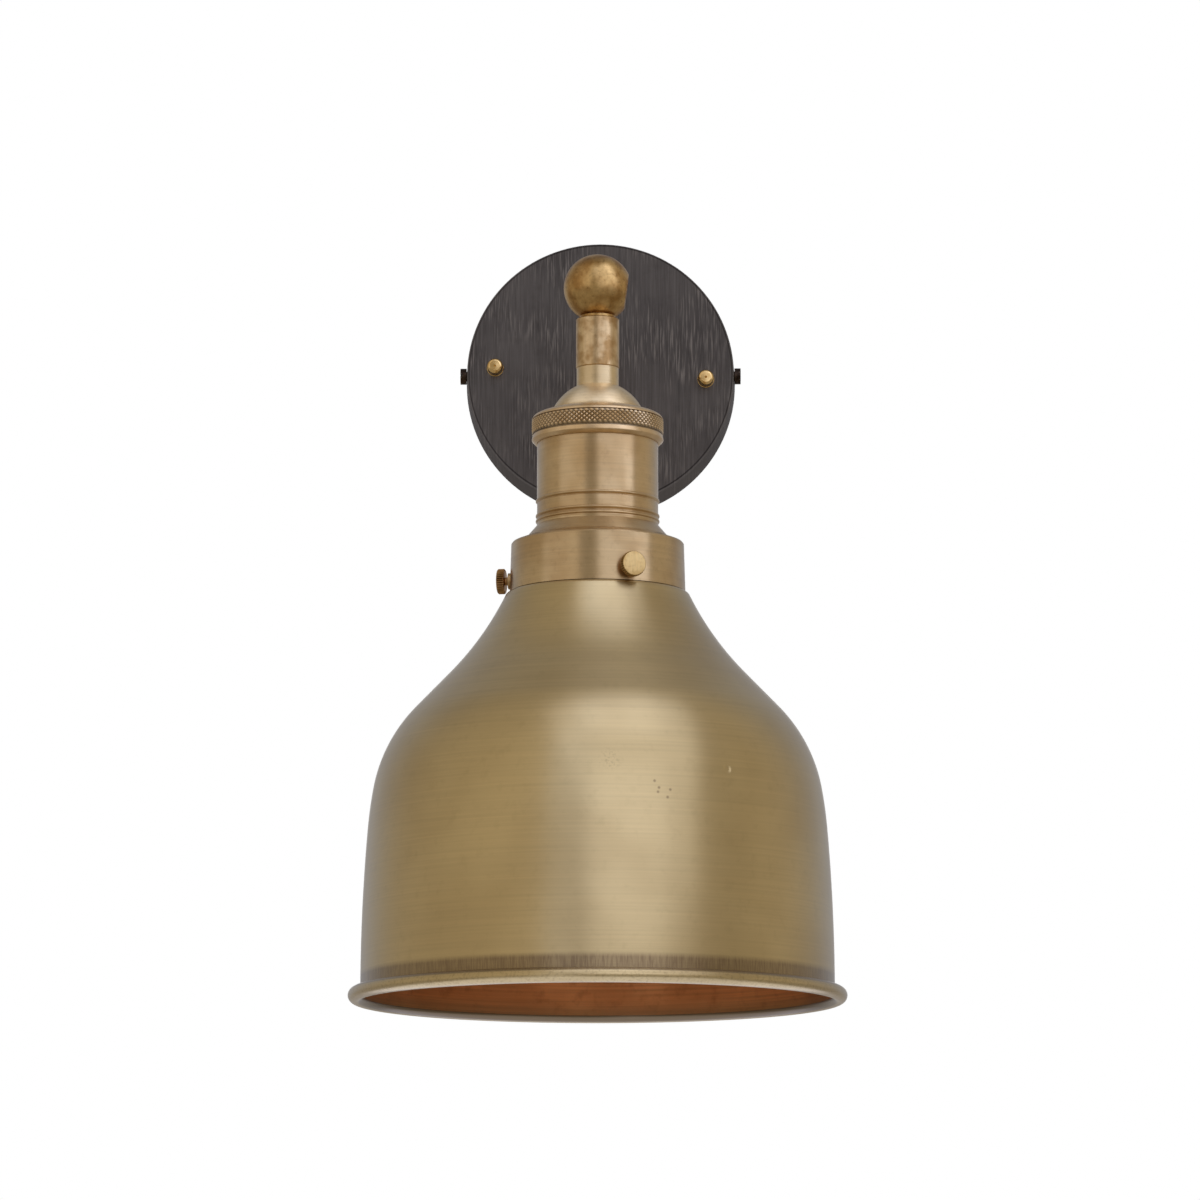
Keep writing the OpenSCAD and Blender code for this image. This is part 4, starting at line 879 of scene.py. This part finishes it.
for name, turn, finish in (("front", FRONT_TURN, screw_brass), ("left", FRONT_TURN - 120, red_brass),
                           ("back", FRONT_TURN + 120, screw_brass)):
    bm = bmesh.new()
    valley = bm.verts.layers.float.new("valley")
    head_end = HEAD_BACK + HEAD_T
    outline(bm, [
        (0, TIP, 0), (SHANK - TIP_BEVEL, TIP, 0), (SHANK, TIP + TIP_BEVEL, 0),
        (SHANK, STRAIGHT_END, 0), (WAIST, STRAIGHT_END + WAIST_SLOPE, 0), (WAIST, HEAD_BACK, 0.3),
        (HEAD_R - HEAD_BEVEL, HEAD_BACK, 0.15), (HEAD_R, HEAD_BACK + HEAD_BEVEL, 0),
        (HEAD_R, head_end - HEAD_BEVEL, 0), (HEAD_R - HEAD_BEVEL, head_end, 0.12), (0, head_end, 0),
    ])
    spin_closed(bm, 2*RIDGES)
    for vert in bm.verts:
        column = round(math.atan2(vert.co.y, vert.co.x)/ROUND*2*RIDGES)
        if vert.co.xy.length > HEAD_R - NEAR and column % 2:
            vert.co.xy *= 1 - RIDGE_DEPTH/HEAD_R
            vert[valley] = 1
    place = (HEAD @ Matrix.Translation((0, 0, SCREW_HEIGHT))
             @ Matrix.Rotation(math.radians(turn), 4, "Z") @ Matrix.Rotation(math.radians(90), 4, "X"))
    piece_from(bm, "thumbscrew_knurled_" + name, place, "thumbscrew_" + name,
               [finish], ["thumbscrew_" + name], sharp=30)


# Floor, camera and light.
# A pale matt floor 1.6 m below the lamp, a low camera, and a soft studio: pale walls with a dark
# gap left of the camera, soft boxes mostly on the right, and a white backdrop.

LAMP_ABOVE_FLOOR = 1.6
FLOOR_HALF = 20
# What the floor adds to its own light for the camera, so that it looks pale like the backdrop
FLOOR_GLOW = 0.5
bm = bmesh.new()
bmesh.ops.create_grid(bm, x_segments=1, y_segments=1, size=FLOOR_HALF)
bmesh.ops.translate(bm, verts=bm.verts, vec=(0, 0, -LAMP_ABOVE_FLOOR))
floor_mesh = bpy.data.meshes.new("floor")
bm.to_mesh(floor_mesh)
bm.free()
floor_paint, floor_tree, floor_shader = surface("pale_matt_floor", Base_Color=linear("#E9E8E6"),
                                                Roughness=0.9)
floor_path = add_node(floor_tree, "LightPath", {})
floor_glow = add_node(floor_tree, "Math", {
    0: floor_path.outputs["Is Camera Ray"], 1: FLOOR_GLOW,
}, operation="MULTIPLY")
floor_shader.inputs["Emission Color"].default_value = linear("#FFFFFF")
floor_tree.links.new(floor_glow.outputs[0], floor_shader.inputs["Emission Strength"])
floor_mesh.materials.append(floor_paint)
floor = bpy.data.objects.new("floor", floor_mesh)
bpy.context.scene.collection.objects.link(floor)

camera = bpy.data.objects.new("camera", bpy.data.cameras.new("camera"))
camera.location = (0.0135, -2.005, -0.418)
aim = Vector((0.00087, -0.175, -0.1165))
camera.rotation_euler = (aim - camera.location).to_track_quat("-Z", "Y").to_euler()
camera.data.lens = 152.4
camera.data.sensor_width = 36
bpy.context.scene.collection.objects.link(camera)
bpy.context.scene.camera = camera

# The walls' light by azimuth, from the camera's side and to the right positive, and by elevation
WARM = "#FFF3E2"
COOL = "#FAFAFF"
AROUND = [
    (-180, 0.34, COOL), (-140, 0.37, COOL), (-110, 0.41, WARM), (-60, 0.54, WARM), (-27, 0.60, WARM),
    (-22, 0.29, WARM), (-4, 0.31, WARM), (1, 0.42, WARM), (76, 0.42, WARM), (80, 0.48, WARM),
    (105, 0.47, WARM), (140, 0.37, COOL), (180, 0.34, COOL),
]
UPWARDS = [
    (-90, 0.8), (-20, 0.95), (5, 1.05), (12, 1.05), (28, 0.95), (60, 0.9), (75, 0.82), (90, 0.76),
]
HIGHEST = 1.05
BEHIND = (0, 0.987, 0.163)
BACKDROP_FROM = math.cos(math.radians(12.5))
BACKDROP_FULL = math.cos(math.radians(7))
world = bpy.data.worlds.new("studio")
world.use_nodes = True
bpy.context.scene.world = world
sky = world.node_tree
background = sky.nodes["Background"]
direction = add_node(sky, "TexCoord", {}).outputs["Generated"]
parts = add_node(sky, "SeparateXYZ", {0: direction})
towards = add_node(sky, "Math", {0: parts.outputs["Y"], 1: -1}, operation="MULTIPLY")
azimuth = add_node(sky, "Math", {
    0: parts.outputs["X"], 1: towards.outputs[0],
}, operation="ARCTAN2")
around_share = add_node(sky, "MapRange", {
    "Value": azimuth.outputs[0], "From Min": -math.pi, "From Max": math.pi,
})
elevation = add_node(sky, "Math", {0: parts.outputs["Z"]}, operation="ARCSINE")
up_share = add_node(sky, "MapRange", {
    "Value": elevation.outputs[0], "From Min": -math.pi/2, "From Max": math.pi/2,
})


def ordered(stops):
    """Puts the last stop second, because a ramp starts with its two end stops."""
    return [stops[0], stops[-1]] + stops[1:-1]


around = add_node(sky, "ValToRGB", {0: around_share.outputs[0]}, stops=ordered(
    [((angle + 180)/360, [level*share for share in linear(tint)[:3]] + [1])
     for angle, level, tint in AROUND]))
upwards = add_node(sky, "ValToRGB", {0: up_share.outputs[0]}, stops=ordered(
    [((angle + 90)/180, [level/HIGHEST]*3 + [1]) for angle, level in UPWARDS]))
product = add_node(sky, "Mix", {
    0: 1, 6: around.outputs[0], 7: upwards.outputs[0],
}, data_type="RGBA", blend_type="MULTIPLY")
raised = add_node(sky, "VectorMath", {
    0: product.outputs[2], "Scale": HIGHEST,
}, operation="SCALE")

# The white backdrop: all round for the camera, and straight behind the lamp in its reflections
path = add_node(sky, "LightPath", {})
facing = add_node(sky, "VectorMath", {0: direction, 1: BEHIND}, operation="DOT_PRODUCT")
behind = add_node(sky, "MapRange", {
    "Value": facing.outputs["Value"], "From Min": BACKDROP_FROM, "From Max": BACKDROP_FULL,
})
mirrored = add_node(sky, "Math", {
    0: path.outputs["Is Glossy Ray"], 1: behind.outputs[0],
}, operation="MULTIPLY")
straight = add_node(sky, "Math", {
    0: path.outputs["Is Camera Ray"], 1: path.outputs["Is Transmission Ray"],
}, operation="MAXIMUM")
seen = add_node(sky, "Math", {
    0: straight.outputs[0], 1: mirrored.outputs[0],
}, operation="MAXIMUM")
shown = add_node(sky, "Mix", {
    0: seen.outputs[0], 6: raised.outputs[0], 7: (1, 1, 1, 1),
}, data_type="RGBA")
sky.links.new(shown.outputs[2], background.inputs["Color"])
bpy.context.scene.view_settings.view_transform = "Standard"

# Soft boxes in three groups, as when a picture is lit in parts: one for all small pieces, one for
# the cap's dome alone and one for the shade, with a board under the lamp that sends light up.
LAMP_MIDDLE = LAMP_AXIS + Vector((0, 0, -0.1))
BOX_DISTANCE = 1.2
# Watts that a square metre of a box gives at level 1
BOX_WATTS = 4
DAYLIGHT = (1, 1.12, 1.6)


def soft_box(name, azimuth_deg, elevation_deg, width, height, level, pieces, distance=BOX_DISTANCE):
    """An even panel of light that faces the lamp and lights only the given pieces."""
    lamp = bpy.data.lights.new(name, "AREA")
    lamp.shape = "RECTANGLE"
    lamp.size = width
    lamp.size_y = height
    lamp.energy = level*BOX_WATTS*width*height
    lamp.color = DAYLIGHT
    turn = math.radians(azimuth_deg)
    rise = math.radians(elevation_deg)
    towards = Vector((math.sin(turn)*math.cos(rise), -math.cos(turn)*math.cos(rise), math.sin(rise)))
    box = bpy.data.objects.new(name, lamp)
    box.location = LAMP_MIDDLE + distance*towards
    box.rotation_euler = towards.to_track_quat("Z", "Y").to_euler()
    box.visible_camera = False
    bpy.context.scene.collection.objects.link(box)
    group = bpy.data.collections.new(name)
    for piece in pieces:
        group.objects.link(piece)
    box.light_linking.receiver_collection = group


above_shade = [piece for piece in bpy.context.scene.objects
               if piece.type == "MESH" and piece not in (bell, floor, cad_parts["wall_plate"])]
soft_box("holder_bank", 25, 35, 1.07, 1.9, 0.40, above_shade)
soft_box("holder_key", 61, 35, 0.47, 1.9, 0.58, above_shade)
soft_box("holder_left", -48, 35, 1.35, 1.9, 0.12, above_shade)
soft_box("dome_right", 62, 62, 1.3, 0.9, 0.30, [cap])
soft_box("dome_left", -65, 62, 1.3, 0.9, 0.22, [cap])
soft_box("shade_bank", 21, 40, 1.44, 1.87, 0.4, [bell])
soft_box("shade_key", 19, 62, 0.72, 0.8, 0.34, [bell])
soft_box("shade_low", 14, 4, 0.84, 0.55, 0.28, [bell])
soft_box("shade_fill", -17, 0, 0.30, 3.2, 0.28, [bell])
soft_box("bounce_board", 0, -90, 1.0, 1.0, 0.5, [bell], distance=0.45)
